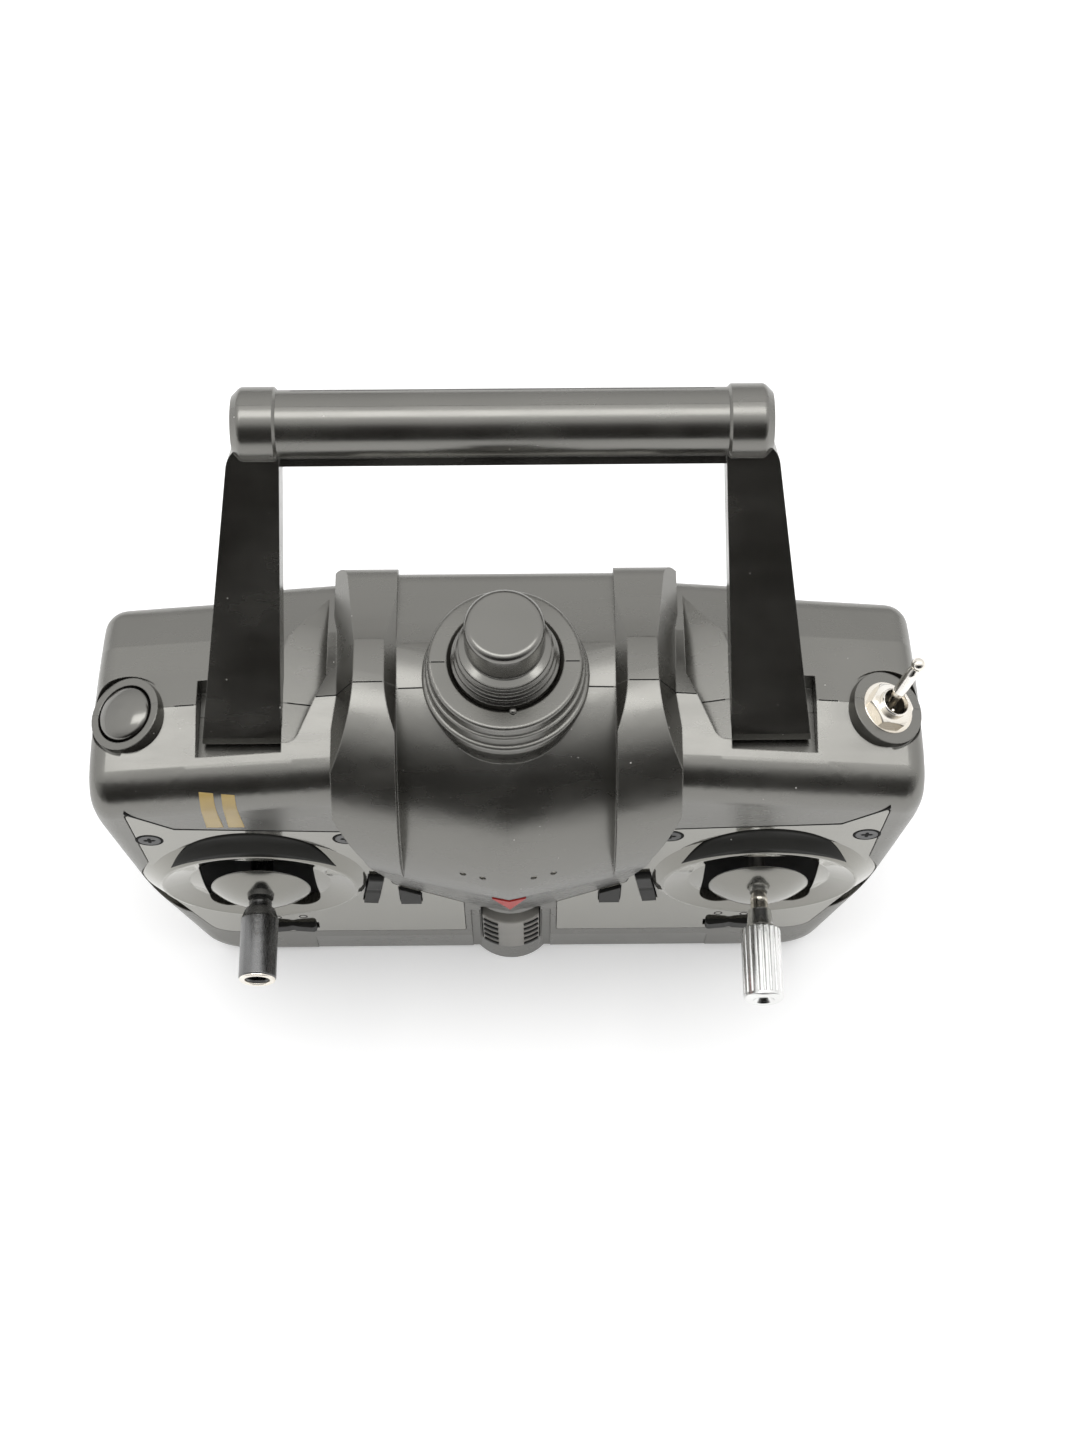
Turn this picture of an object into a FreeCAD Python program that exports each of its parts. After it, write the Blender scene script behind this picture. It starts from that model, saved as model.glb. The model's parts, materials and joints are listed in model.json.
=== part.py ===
"""Hand-held two-stick radio transmitter, as a parametric FreeCAD document.

Frame: +X to the holder's right, +Y to the back, +Z up. The origin is on the flat underside, in the plane
where the front and back shells meet. Each sub-part is one object, labelled with its node's name.
"""
import FreeCAD, Part
import math
import os
import re
import Sketcher
from FreeCAD import Placement, Rotation, Vector

doc = FreeCAD.newDocument("transmitter")
nodes = []

# ---------------------------------------------------------------- driving dimensions, in millimetres

DIMENSIONS = [
    ("half_width", 94, "case, half its greatest width"),
    ("front_depth", 21, "parting plane to the front face"),
    ("back_depth", 31.5, "parting plane to the back of the battery bulge"),
    ("wing_back", 28.8, "parting plane to the back of the wings"),
    ("bulge_half", 56, "half width of the battery bulge"),
    ("wall", 2.4, "shell wall"),
    ("front_wall", 4.2, "front wall, with the recess for the face plates"),
    ("rim_r", 5, "rounding all round the front"),
    ("back_rim_r", 6, "rounding all round the wings' back"),
    ("foot_x", 76.5, "corner between underside and flank"),
    ("foot_r", 13, "its rounding"),
    ("sole", 0.3, "how far the rounded form runs on below the flat underside"),
    ("hip_x", 88.4, "bend in the flank"),
    ("hip_z", 44, "its height"),
    ("hip_r", 120, "its rounding"),
    ("side_z", 87, "top of the slanting flank"),
    ("side_r", 60, "its rounding"),
    ("shoulder_z", 107.5, "corner between flank and roof line"),
    ("shoulder_r", 13, "its rounding"),
    ("roof_z", 122, "roof line over the middle"),
    ("wing_ridge", 117.4, "height of the wings' ridge, run on to the middle"),
    ("wing_fall", 0.14, "fall of the wings per mm outwards"),
    ("front_drop", 5.2, "fall from the ridge to the front edge"),
    ("front_edge_r", 10, "rounding of the wings' front edge"),
    ("crease_y", 16, "crease across the back of the wings"),
    ("crease_drop", 0.6, "fall from the ridge to the crease"),
    ("back_draft", 1.8, "narrowing of the flanks from front to back"),
    ("back_drop", 5, "fall from the ridge to the back edge"),
    ("back_edge_r", 5, "rounding of the wings' back edge"),
    ("panel_half", 24.3, "half width of the centre panel"),
    ("panel_top", 116.5, "height of the centre panel"),
    ("panel_r", 38, "its bend down into the console"),
    ("back_fall", 4, "fall of panel and ribs to the back"),
    ("rib_x", 33, "outer top edge of the ribs"),
    ("rib_top", 119, "height of the ribs"),
    ("rib_r", 32, "their bend down into the console"),
    ("flank_x", 39.5, "foot of the ribs' outer flank"),
    ("hood_foot", 92, "height from which the hood alone forms the middle"),
    ("tip_z", 27.6, "lower tip of the console"),
    ("prow_lean", 0.28, "forward lean of the console per mm upwards"),
    ("prow_sweep", 0.22, "sweep of the console per mm outwards"),
    ("collar_y", 0.6, "aerial axis, behind the parting plane"),
    ("collar_r", 18.4, "aerial collar, lower step"),
    ("collar_z", 121.5, "its top"),
    ("collar_top", 128.5, "top of the collar's upper step"),
    ("stub_r", 11.8, "foot of the aerial stub"),
    ("stub_cap_r", 8.6, "its cap"),
    ("stub_top", 145.2, "its top"),
    ("shoulder_x", 85.3, "shoulder controls, centre of the seat"),
    ("shoulder_y", -1, "their place in front of the parting plane"),
    ("seat_z", 104.6, "its height"),
    ("seat_tilt", 24, "outward tilt of the seats, in degrees"),
    ("seat_r", 8.7, "disc of the seat"),
    ("seat_rise", 0.8, "its rise above the wing"),
    ("seat_groove", 0.6, "groove around it"),
    ("button_r", 6.4, "shoulder button"),
    ("bushing_r", 3.4, "toggle bushing"),
    ("nut_flats", 9.4, "toggle nut across flats"),
    ("lever_reach", 16.4, "toggle lever beyond its pivot"),
    ("scoop_z", 99.2, "floor of the scoops beside the handle, run on to their low corner"),
    ("arm_in", 50.6, "handle arm, inner edge at its root"),
    ("arm_out", 68.7, "outer edge at its root"),
    ("arm_in_top", 47, "inner edge under the bar"),
    ("arm_out_top", 57.8, "outer edge under the bar"),
    ("arm_y", -7, "front of the arm's root"),
    ("arm_z", 107, "height of that point"),
    ("arm_lean", 39, "backward lean of the handle, in degrees"),
    ("arm_thick", 9, "thickness of the arms"),
    ("bar_reach", 71, "root to the bar's axis, along the arms"),
    ("bar_set", 4, "bar axis behind the arms' front"),
    ("bar_r", 7.2, "handle bar"),
    ("sleeve_r", 7.9, "sleeves at its ends"),
    ("bar_half", 55.4, "half the bar's length"),
    ("sleeve_len", 9.5, "length of a sleeve"),
    ("gimbal_x", 60, "stick centres, from the middle"),
    ("gimbal_z", 50, "their height"),
    ("gimbal_y", -6.5, "gimbal centre, from the parting plane"),
    ("dome_r", 19.6, "stick dome"),
    ("dome_wall", 1.4, "its wall"),
    ("yoke_r", 16.8, "gimbal ring, outside"),
    ("yoke_in", 14, "gimbal ring, inside"),
    ("housing_r", 22.4, "gimbal housing, outside"),
    ("housing_in", 20.7, "gimbal housing, inside"),
    ("pivot_r", 1.5, "gimbal pivots"),
    ("ring_lean", 3.4, "lean of the face plates' rings, in degrees, about the gimbal centre"),
    ("crest_r", 23.2, "crest of a ring"),
    ("crest_h", 16.2, "gimbal centre to the crest, along the ring's axis"),
    ("ring_foot_r", 28.2, "outer foot of the ring"),
    ("ring_rise", 2.6, "middle of a ring above its gimbal"),
    ("lip_r", 13.5, "opening in the ring, half its width"),
    ("stick_left_r", 2.75, "left stick, shaft"),
    ("stick_right_r", 2.1, "right stick, shaft"),
    ("stick_left_tip", 38.8, "gimbal centre to the left stick's tip"),
    ("stick_right_tip", 44.9, "gimbal centre to the right stick's tip"),
    ("plate_thick", 2, "face plates"),
    ("plate_foot", 16.5, "lower edge of the face plates"),
    ("gap", 0.15, "seam between a face plate and its recess"),
    ("screw_x_in", 37.3, "face screws, inner"),
    ("screw_x_out", 82.7, "face screws, outer"),
    ("screw_z", 79, "face screws, height"),
    ("trim_x", 55, "trim rockers below the sticks"),
    ("trim_z", 20.8, "their height"),
    ("side_trim_x", 33, "trim rockers beside the sticks"),
    ("side_trim_z", 47.3, "their height"),
    ("side_trim_len", 16.5, "their length"),
    ("trim_wide", 3.4, "width of a trim rocker"),
    ("trim_len", 12, "length of the lower ones"),
    ("key_x", 24.3, "console keys"),
    ("key_foot", 37.5, "their lower edge"),
    ("key_wide", 5, "their width"),
    ("boss_r", 11.5, "power switch boss"),
    ("boss_y", -11.4, "axis of the boss"),
    ("boss_top", 36, "top of the boss, inside the console"),
    ("slot_half", 7.4, "half width of the power switch's slot"),
    ("slot_foot", 9, "foot of the slot"),
    ("slot_top", 33, "top of the slot"),
    ("slider_tall", 18, "height of the power slider"),
    ("slider_travel", 5, "its travel"),
    ("bay_half", 31, "battery bay, half width"),
    ("bay_foot", 16, "battery bay, floor"),
    ("bay_tall", 62, "battery bay, height"),
    ("bay_y", 11.6, "battery bay, front wall"),
    ("cell_r", 7.2, "AA cell"),
    ("cell_len", 50.4, "AA cell"),
    ("cell_pitch", 15, "cell to cell"),
    ("door_thick", 2.2, "battery door"),
    ("door_travel", 9, "room below the door for sliding it off"),
    ("board_y", 3, "main board, front"),
    ("post_r", 3.4, "screw posts"),
    ("screw_r", 1.4, "case screws"),
    ("screw_head_r", 2.7, "their heads"),
]
ALIASES = {alias for alias, _, _ in DIMENSIONS}

sheet = doc.addObject("Spreadsheet::Sheet", "dims")
for row, (alias, size, meaning) in enumerate(DIMENSIONS, 1):
    sheet.set(f"A{row}", meaning)
    sheet.set(f"B{row}", str(size))
    sheet.setAlias(f"B{row}", alias)
doc.recompute()


def bound(expression):
    """The expression with each alias written as a cell of the sheet, as other objects need it."""
    return re.sub(r"[a-z_]+", lambda word: f"dims.{word[0]}" if word[0] in ALIASES else word[0],
                  str(expression))


def number(expression):
    """The expression's present value."""
    return float(sheet.evalExpression(str(expression)))


# ---------------------------------------------------------------- drawing helpers

X, Y, Z = Vector(1, 0, 0), Vector(0, 1, 0), Vector(0, 0, 1)
PLANES = {"XY": Rotation(), "XZ": Rotation(X, 90), "YZ": Rotation(Vector(1, 1, 1), 120)}


def rounded_corner(before, corner, after, radius):
    """Where an arc of that radius leaves each side of a corner, and the arc, drawn anticlockwise."""
    a = (before - corner).normalize()
    b = (after - corner).normalize()
    half = a.getAngle(b) / 2
    start = corner + a * (radius / math.tan(half))
    end = corner + b * (radius / math.tan(half))
    centre = corner + (a + b).normalize() * (radius / math.sin(half))
    turn = [math.atan2(p.y - centre.y, p.x - centre.x) for p in (start, end)]
    forwards = (turn[1] - turn[0]) % (2 * math.pi) < math.pi
    low, high = turn if forwards else turn[::-1]
    if high < low:
        high += 2 * math.pi
    return start, end, Part.ArcOfCircle(Part.Circle(centre, Z, radius), low, high), forwards


def draw(sketch, corners):
    """A closed outline: each corner is (x, y) or (x, y, radius), every one an expression of the sheet."""
    points = [Vector(number(c[0]), number(c[1]), 0) for c in corners]
    count = len(corners)
    starts, ends, arcs = list(points), list(points), {}
    for i, corner in enumerate(corners):
        if len(corner) == 3:
            starts[i], ends[i], arc, forwards = rounded_corner(
                points[i - 1], points[i], points[(i + 1) % count], number(corner[2]))
            arcs[i] = (arc, forwards)
    lines = [sketch.addGeometry(Part.LineSegment(ends[i], starts[(i + 1) % count]), False)
             for i in range(count)]

    def fix(constraint, expression):
        index = sketch.addConstraint(constraint)
        sketch.setExpression(f"Constraints[{index}]", bound(expression))

    for i, corner in enumerate(corners):
        before, after = lines[i - 1], lines[i]
        if i in arcs:
            arc, forwards = arcs[i]
            curve = sketch.addGeometry(arc, False)
            first, last = (1, 2) if forwards else (2, 1)
            sketch.addConstraint(Sketcher.Constraint("Tangent", before, 2, curve, first))
            sketch.addConstraint(Sketcher.Constraint("Tangent", curve, last, after, 1))
            fix(Sketcher.Constraint("Radius", curve, number(corner[2])), corner[2])
            tip = sketch.addGeometry(Part.Point(points[i]), True)
            sketch.addConstraint(Sketcher.Constraint("PointOnObject", tip, 1, before))
            sketch.addConstraint(Sketcher.Constraint("PointOnObject", tip, 1, after))
        else:
            sketch.addConstraint(Sketcher.Constraint("Coincident", before, 2, after, 1))
            tip = after
        fix(Sketcher.Constraint("DistanceX", tip, 1, points[i].x), corner[0])
        fix(Sketcher.Constraint("DistanceY", tip, 1, points[i].y), corner[1])
    return sketch


def put(thing, at, turn=None):
    """Turns an object and binds its place to the sheet."""
    if turn is not None:
        thing.Placement = Placement(Vector(), turn)
    for axis, expression in zip("xyz", at):
        thing.setExpression(f"Placement.Base.{axis}", bound(expression))
    return thing


def facing(direction):
    return Rotation(Z, Vector(*direction))


def outline(name, plane, corners, at=("0", "0", "0")):
    """A sketch that stands by itself, for an extrusion or a loft."""
    sketch = doc.addObject("Sketcher::SketchObject", name)
    put(sketch, at, PLANES[plane])
    return draw(sketch, corners)


def extruded(name, sketch, direction, forwards, backwards="0", taper=0):
    solid = doc.addObject("Part::Extrusion", name)
    solid.Base = sketch
    solid.DirMode = "Custom"
    solid.Dir = Vector(*direction)
    solid.Solid = True
    solid.TaperAngle = taper
    solid.setExpression("LengthFwd", bound(forwards))
    solid.setExpression("LengthRev", bound(backwards))
    return solid


def block(name, size, at, turn=None):
    solid = doc.addObject("Part::Box", name)
    for key, expression in zip(("Length", "Width", "Height"), size):
        solid.setExpression(key, bound(expression))
    return put(solid, at, turn)


def rod(name, radius, length, at, direction=(0, 0, 1)):
    solid = doc.addObject("Part::Cylinder", name)
    solid.setExpression("Radius", bound(radius))
    solid.setExpression("Height", bound(length))
    return put(solid, at, facing(direction))


def ball(name, radius, at):
    solid = doc.addObject("Part::Sphere", name)
    solid.setExpression("Radius", bound(radius))
    return put(solid, at)


def fused(name, *things):
    solid = doc.addObject("Part::MultiFuse", name)
    solid.Shapes = list(things)
    solid.Refine = True
    return solid


def cut(name, base, *tools):
    solid = doc.addObject("Part::Cut", name)
    solid.Base = base
    solid.Tool = tools[0] if len(tools) == 1 else fused(name + "_tools", *tools)
    solid.Refine = True
    return solid


def shared(name, *things):
    solid = doc.addObject("Part::MultiCommon", name)
    solid.Shapes = list(things)
    return solid


def mirrored(name, source):
    solid = doc.addObject("Part::Mirroring", name)
    solid.Source = source
    solid.Normal = X
    return solid


def group(name, *things):
    solid = doc.addObject("Part::Compound", name)
    solid.Links = list(things)
    return solid


def body_sketch(body, plane, corners):
    sketch = body.newObject("Sketcher::SketchObject", body.Name + "_sketch")
    origin = next(f for f in body.Origin.OriginFeatures if f.Role == plane + "_Plane")
    sketch.AttachmentSupport = [(origin, "")]
    sketch.MapMode = "FlatFace"
    return draw(sketch, corners)


def padded(name, plane, corners, length, at, turn=None, both_ways=False):
    """A PartDesign body with one pad. Its sketch lies on one of the body's own origin planes."""
    body = doc.addObject("PartDesign::Body", name)
    sketch = body_sketch(body, plane, corners)
    pad = body.newObject("PartDesign::Pad", name + "_pad")
    pad.Profile = sketch
    pad.setExpression("Length", bound(length))
    pad.Midplane = both_ways
    body.Tip = pad
    return put(body, at, turn)


def turned(name, corners, at, direction=(0, 0, 1)):
    """A PartDesign body turned about its own Z axis from a half section of (radius, height) corners."""
    body = doc.addObject("PartDesign::Body", name)
    sketch = body_sketch(body, "XZ", corners)
    lathe = body.newObject("PartDesign::Revolution", name + "_turn")
    lathe.Profile = sketch
    lathe.ReferenceAxis = (sketch, ["V_Axis"])
    lathe.Angle = 360
    body.Tip = lathe
    return put(body, at, facing(direction))


def rectangle(low_x, low_y, high_x, high_y, radius=None):
    corners = [(low_x, low_y), (high_x, low_y), (high_x, high_y), (low_x, high_y)]
    return corners if radius is None else [corner + (radius,) for corner in corners]


def node(name, thing):
    """Names a finished sub-part, which makes it one of the model's nodes."""
    thing.Label = name
    nodes.append(thing)
    return thing


SIDES = (("left", -1), ("right", 1))

# ---------------------------------------------------------------- the case as one form

SWEEP = (1, number("prow_sweep"), 0)
WING_RUN = (1, 0, -number("wing_fall"))


def front_view(name, inset, y="0", narrow="0"):
    """The wings seen from the front, at some depth: underside, slanting flanks and roof line."""
    right = [
        (f"foot_x - {narrow} - 0.6 * {inset}", f"{inset} - sole", "foot_r"),
        (f"hip_x - {narrow} - {inset}", "hip_z", "hip_r"),
        (f"half_width - {narrow} - {inset}", "side_z", "side_r"),
        (f"half_width - {narrow} - {inset}", f"shoulder_z - {inset}",
         f"shoulder_r - 0.7 * {inset}"),
    ]
    left = [("-(" + corner[0] + ")",) + corner[1:] for corner in reversed(right)]
    corners = [left[-1]] + right + [("0", f"roof_z - {inset}")] + left[:-1]
    return outline(name, "XZ", corners, ("0", y, "0"))


def flanks(tag, inset, front, back):
    """The wings' sides, narrowing a little towards the back."""
    solid = doc.addObject("Part::Loft", f"{tag}_flanks")
    solid.Sections = [front_view(f"{tag}_view_front", inset, f"-front_depth + {front}"),
                      front_view(f"{tag}_view_middle", inset),
                      front_view(f"{tag}_view_back", inset, f"wing_back - {back}", "back_draft")]
    solid.Solid = True
    return solid


def wing_tops(tag, inset, front):
    """Everything below the wings' top, which falls outwards from the middle."""
    half = extruded(f"{tag}_wing", outline(f"{tag}_side_view", "YZ", [
        (f"-front_depth + {front}", "-20"),
        (f"-front_depth + {front}", f"wing_ridge - front_drop - {inset}", f"front_edge_r - 0.8 * {inset}"),
        ("0", f"wing_ridge - {inset}"),
        ("crease_y", f"wing_ridge - crease_drop - {inset}"),
        (f"back_depth - {inset}", f"wing_ridge - back_drop - {inset}", f"back_edge_r - 0.8 * {inset}"),
        (f"back_depth - {inset}", "-20"),
    ]), WING_RUN, "half_width * 1.05")
    return fused(f"{tag}_tops", half, mirrored(f"{tag}_other_wing", half))


def bulge(tag, inset):
    """The battery bulge across the middle of the back."""
    plan = extruded(f"{tag}_bulge_plan", outline(f"{tag}_bulge_view", "XY", [
        (f"-bulge_half + {inset}", "2"), (f"bulge_half - {inset}", "2"),
        (f"bulge_half - {inset}", f"back_depth - {inset}", "4"),
        (f"-bulge_half + {inset}", f"back_depth - {inset}", "4"),
    ]), (0, 0, 1), "140")
    side = extruded(f"{tag}_bulge_side", outline(f"{tag}_bulge_side_view", "YZ", [
        ("1", f"9 + {inset}"), ("wing_back - 3", f"9 + {inset}"),
        (f"back_depth - {inset}", f"12.5 + {inset}", "2.5"),
        (f"back_depth - {inset}", "140"), ("1", "140"),
    ]), (1, 0, 0), "half_width", "half_width")
    return shared(f"{tag}_bulge", plan, side)


def prow(tag, top, bend, inset, start, width):
    """One half of the centre section's profile, swept back as it runs outwards from the middle."""
    drawn = outline(f"{tag}_profile", "YZ", [
        (f"-front_depth + {inset} + prow_lean * 20", "tip_z - 20"),
        (f"-front_depth + {inset} - prow_lean * ({top} - {inset} - tip_z)", f"{top} - {inset}",
         f"{bend} - {inset}"),
        ("back_depth * 2", f"{top} - {inset}"),
        ("back_depth * 2", "tip_z - 20"),
    ], (start, f"({start}) * prow_sweep", "0"))
    return extruded(f"{tag}_half", drawn, SWEEP, f"{width} * 1.024")


def shield(tag, inset):
    """The centre section seen from the front: rib flanks that close in towards the console's tip."""
    def half(draw_in):
        edge = f"{inset} - {draw_in}"
        return [
            (f"27 - {edge}", "8"), (f"27 - {edge}", "48.7"), (f"33.5 - {edge}", "86"),
            (f"flank_x - {edge}", "101"), (f"flank_x - {edge}", "109"),
            (f"rib_x - 1.8 - {edge}", "rib_top + 4"),
        ]

    def both(draw_in):
        right = half(draw_in)
        return right + [("-(" + x + ")", z) for x, z in reversed(right)]

    foot = outline(f"{tag}_foot", "XZ", both("0"), ("0", "-front_depth", "0"))
    nose = outline(f"{tag}_nose", "XZ", both("2.6"), ("0", "-front_depth - 26", "0"))
    back = extruded(f"{tag}_back", foot, (0, 1, 0), "front_depth + back_depth * 1.5")
    front = doc.addObject("Part::Loft", f"{tag}_front")
    front.Sections = [foot, nose]
    front.Solid = True
    front.Ruled = True
    return fused(f"{tag}_shield", back, front)


def back_slope(name, top, inset):
    """Everything in front of the back and below the slope that runs down to it."""
    return extruded(name, outline(f"{name}_view", "YZ", [
        ("-front_depth * 4", "2"), ("-front_depth * 4", f"{top} + 14"), ("0", f"{top} + 2 - {inset}"),
        (f"back_depth - {inset}", f"{top} - back_fall - {inset}", "back_edge_r"),
        (f"back_depth - {inset}", "2"),
    ]), (1, 0, 0), "half_width", "half_width")


def hood(tag, inset):
    """The raised centre section: panel, ribs and console."""
    panel = prow(f"{tag}_panel", "panel_top", "panel_r", inset, "0", "rib_x + 6")
    parts = [shared(f"{tag}_panel_cut", panel, back_slope(f"{tag}_panel_back", "panel_top", inset))]
    if inset == "0":
        rib_view = outline(f"{tag}_rib_view", "XZ", [
            ("panel_half", "2"), ("panel_half", "panel_top"), ("panel_half + 6", "panel_top + 6"),
            ("flank_x + 6", "panel_top + 6"), ("flank_x + 6", "2"),
        ])
        rib_run = extruded(f"{tag}_rib_run", rib_view, (0, 1, 0), "back_depth * 1.5", "front_depth * 3")
        rib = prow(f"{tag}_rib", "rib_top", "rib_r", inset, "panel_half - 2", "rib_x - panel_half + 8")
        parts.append(shared(f"{tag}_ribs", rib_run, rib, back_slope(f"{tag}_rib_back", "rib_top", inset)))
    half = fused(f"{tag}_one_side", *parts) if len(parts) > 1 else parts[0]
    whole = fused(f"{tag}_both_sides", half, mirrored(f"{tag}_other_side", half))
    return shared(f"{tag}_hood", whole, shield(tag, inset))


def rim_edges(shape):
    """Edges where flanks and underside meet the front or the top, and the whole outline of the back."""
    def runs_along_y(face):
        low_u, high_u, low_v, high_v = face.ParameterRange
        normal = face.normalAt((low_u + high_u) / 2, (low_v + high_v) / 2)
        return abs(normal.y) < 0.12 and normal.z < 0.9

    chosen = []
    for number_, edge in enumerate(shape.Edges, 1):
        faces = [f for f in shape.Faces if any(e.isSame(edge) for e in f.Edges)]
        on_back = edge.BoundBox.YMin > number("wing_back") - 0.01
        if on_back:
            chosen.append((number_, number("back_rim_r"), number("back_rim_r")))
        elif len(faces) == 2 and runs_along_y(faces[0]) != runs_along_y(faces[1]):
            chosen.append((number_, number("rim_r"), number("rim_r")))
    return chosen


outer_tops = wing_tops("outer", "0", "0")
outer_wings = shared("outer_wings", flanks("outer", "0", "0", "0"), outer_tops)
doc.recompute()
rounded_wings = doc.addObject("Part::Fillet", "rounded_wings")
rounded_wings.Base = outer_wings
rounded_wings.Edges = rim_edges(outer_wings.Shape)
outer_bulge = shared("outer_bulge_cut", bulge("outer", "0"), outer_tops)

SEAT = Vector(math.sin(math.radians(number("seat_tilt"))), 0, math.cos(math.radians(number("seat_tilt"))))
SEAT_ACROSS = Vector(SEAT.z, 0, -SEAT.x)


def at_seat(depth):
    """The point on the right seat's axis that lies so far below the seat's centre."""
    return (f"shoulder_x - ({depth}) * {SEAT.x:.5f}", "shoulder_y", f"seat_z - ({depth}) * {SEAT.z:.5f}")


def both_sides(name, thing):
    return fused(name, thing, mirrored(name + "_left", thing))


collar = turned("collar", [
    ("0", "collar_z - 17"), ("collar_r - 2", "collar_z - 17"), ("collar_r - 1.5", "collar_z - 9"),
    ("collar_r", "collar_z - 2.4", "2"), ("collar_r", "collar_z", "0.8"), ("collar_r - 0.9", "collar_z"),
    ("collar_r - 0.9", "collar_top - 3.5", "0.5"), ("collar_r - 1.5", "collar_top - 3.5"),
    ("collar_r - 1.5", "collar_top", "0.8"), ("0", "collar_top"),
], ("0", "collar_y", "0"))
collar_bore = turned("collar_bore", [
    ("0", "collar_z - 20"), ("9", "collar_z - 20"), ("9", "collar_z - 14"),
    ("stub_r + 2.3", "collar_z - 14"),
    ("stub_r + 2.3", "collar_z - 9.4"), ("stub_r + 0.1", "collar_z - 9.4"),
    ("stub_r + 0.1", "collar_top - 1"),
    ("stub_r + 1.1", "collar_top + 0.2"), ("stub_r + 1.1", "collar_top + 2"), ("0", "collar_top + 2"),
], ("0", "collar_y", "0"))


def beside_hood(tag, half, thing):
    """The wings without their top between the ribs, where the hood's own surface runs lower."""
    room = block(f"{tag}_hood_room", (f"{half} * 2", "80", "40"), (f"-{half}", "-40", "hood_foot"))
    return cut(f"{tag}_beside_hood", thing, room)


outer_body = beside_hood("outer", "34", fused("outer_body", rounded_wings, outer_bulge))
below_table = block("below_table", ("280", "140", "10"), ("-140", "-70", "-10"))
case = cut("case", fused("case_and_sole", outer_body, hood("outer", "0"), collar), below_table)
inner_plan = fused("inner_plan", flanks("inner", "wall", "front_wall", "4"), bulge("inner", "wall"))
inner_room = shared("inner_room", inner_plan, wing_tops("inner", "wall", "front_wall"))
cavity = fused("cavity", beside_hood("inner", "28", inner_room), hood("inner", "wall"))
hollow_case = cut("hollow_case", case, cavity)

# ---------------------------------------------------------------- what both shells share

seat_back = rod("seat_back", "seat_r + 2.6", "7", at_seat("7"), SEAT)
seat_disc = rod("seat_disc", "seat_r", "3", at_seat("3 - seat_rise"), SEAT)
seat_backs = fused("seat_backs", shared("seat_backs_inside", both_sides("both_seat_backs", seat_back), case),
                   both_sides("seat_discs", seat_disc))
collar_socket = rod("collar_socket", "collar_r - 1.6", "12", ("0", "collar_y", "collar_z - 17"))
seat_floor = rod("seat_floor", "seat_r + seat_groove", "12", at_seat("-seat_rise"), SEAT)
seat_ring = cut("seat_ring", rod("groove_outside", "seat_r + seat_groove", "3", at_seat("1.2"), SEAT),
                rod("groove_inside", "seat_r", "6", at_seat("2"), SEAT))
seat_hole = fused("seat_hole", seat_floor, seat_ring)
button_hole = rod("button_hole", "button_r + 0.55", "16", at_seat("14"), SEAT)
bushing_hole = rod("bushing_hole", "bushing_r + 0.05", "16", at_seat("14"), SEAT)
toggle_room = padded("toggle_room", "XY", rectangle("-4.3", "-6.8", "4.3", "6.8"), "16", at_seat("20"),
                     Rotation(SEAT_ACROSS, Y, SEAT, "XYZ"))
seat_holes = fused("seat_holes", seat_hole, mirrored("seat_hole_left", seat_hole), bushing_hole, toggle_room,
                   mirrored("button_hole_left", button_hole))

scoop_plan = extruded("scoop_plan", outline("scoop_outline", "XY", [
    ("flank_x + 0.6", "5"), ("47", "-9.5", "3"), ("51", "-9.5"), ("51", "back_depth + 1"),
    ("flank_x + 0.6", "back_depth + 1"),
], ("0", "0", "100")), (0, 0, 1), "30")
SCOOP_TURN = facing((-0.3, -0.1, 1))
scoop_above = block("scoop_above", ("60", "80", "40"), ("22", "-36", "scoop_z - 2.6"), SCOOP_TURN)
scoops = both_sides("scoops", shared("scoop", scoop_plan, scoop_above))
scoop_cup_plan = extruded("scoop_cup_plan", outline("scoop_cup_outline", "XY", [
    ("panel_half + 2", "0"), ("46", "-12.5", "3"), ("54", "-12.5"), ("54", "back_depth - 1"),
    ("panel_half + 2", "back_depth - 1"),
], ("0", "0", "80")), (0, 0, 1), "50")
scoop_under = block("scoop_under", ("60", "80", "8"), ("22.7", "-35.8", "scoop_z - 5"), SCOOP_TURN)
scoop_cups = both_sides("scoop_cups", shared("scoop_cup", scoop_cup_plan, scoop_under, case))

arm_pocket = block("arm_pocket", ("arm_out - arm_in + 1.2", "17.6", "30"), ("arm_in - 0.6", "-11.6", "101"))
tongue_hole = block("tongue_hole", ("13.3", "8.3", "24"), ("51.85", "-4.15", "91.7"))
tongue_cup = block("tongue_cup", ("18", "15", "26"), ("49.5", "-8", "89.4"))
pocket_cup = block("pocket_cup", ("24", "22.4", "30"), ("arm_in - 3", "-14", "98.6"))
handle_cups = shared("handle_cups", both_sides("both_cups", fused("one_cup", tongue_cup, pocket_cup)), case)
handle_holes = both_sides("handle_holes", fused("one_handle_hole", arm_pocket, tongue_hole))

common_parts = (hollow_case, seat_backs, collar_socket, handle_cups, scoop_cups)
common_holes = (collar_bore, seat_holes, scoops, handle_holes)

POSTS = (("84", "72"), ("44", "91"), ("68", "13"))


def at_posts(name, radius, start, length, direction=(0, 1, 0)):
    """Equal rods along Y at the six screw posts."""
    one_side = [rod(f"{name}_{i}", radius, length, (x, start, z), direction)
                for i, (x, z) in enumerate(POSTS, 1)]
    right = group(f"{name}_right", *one_side)
    return group(name, right, mirrored(f"{name}_others", right))


# ---------------------------------------------------------------- face plates and their trims

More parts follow.
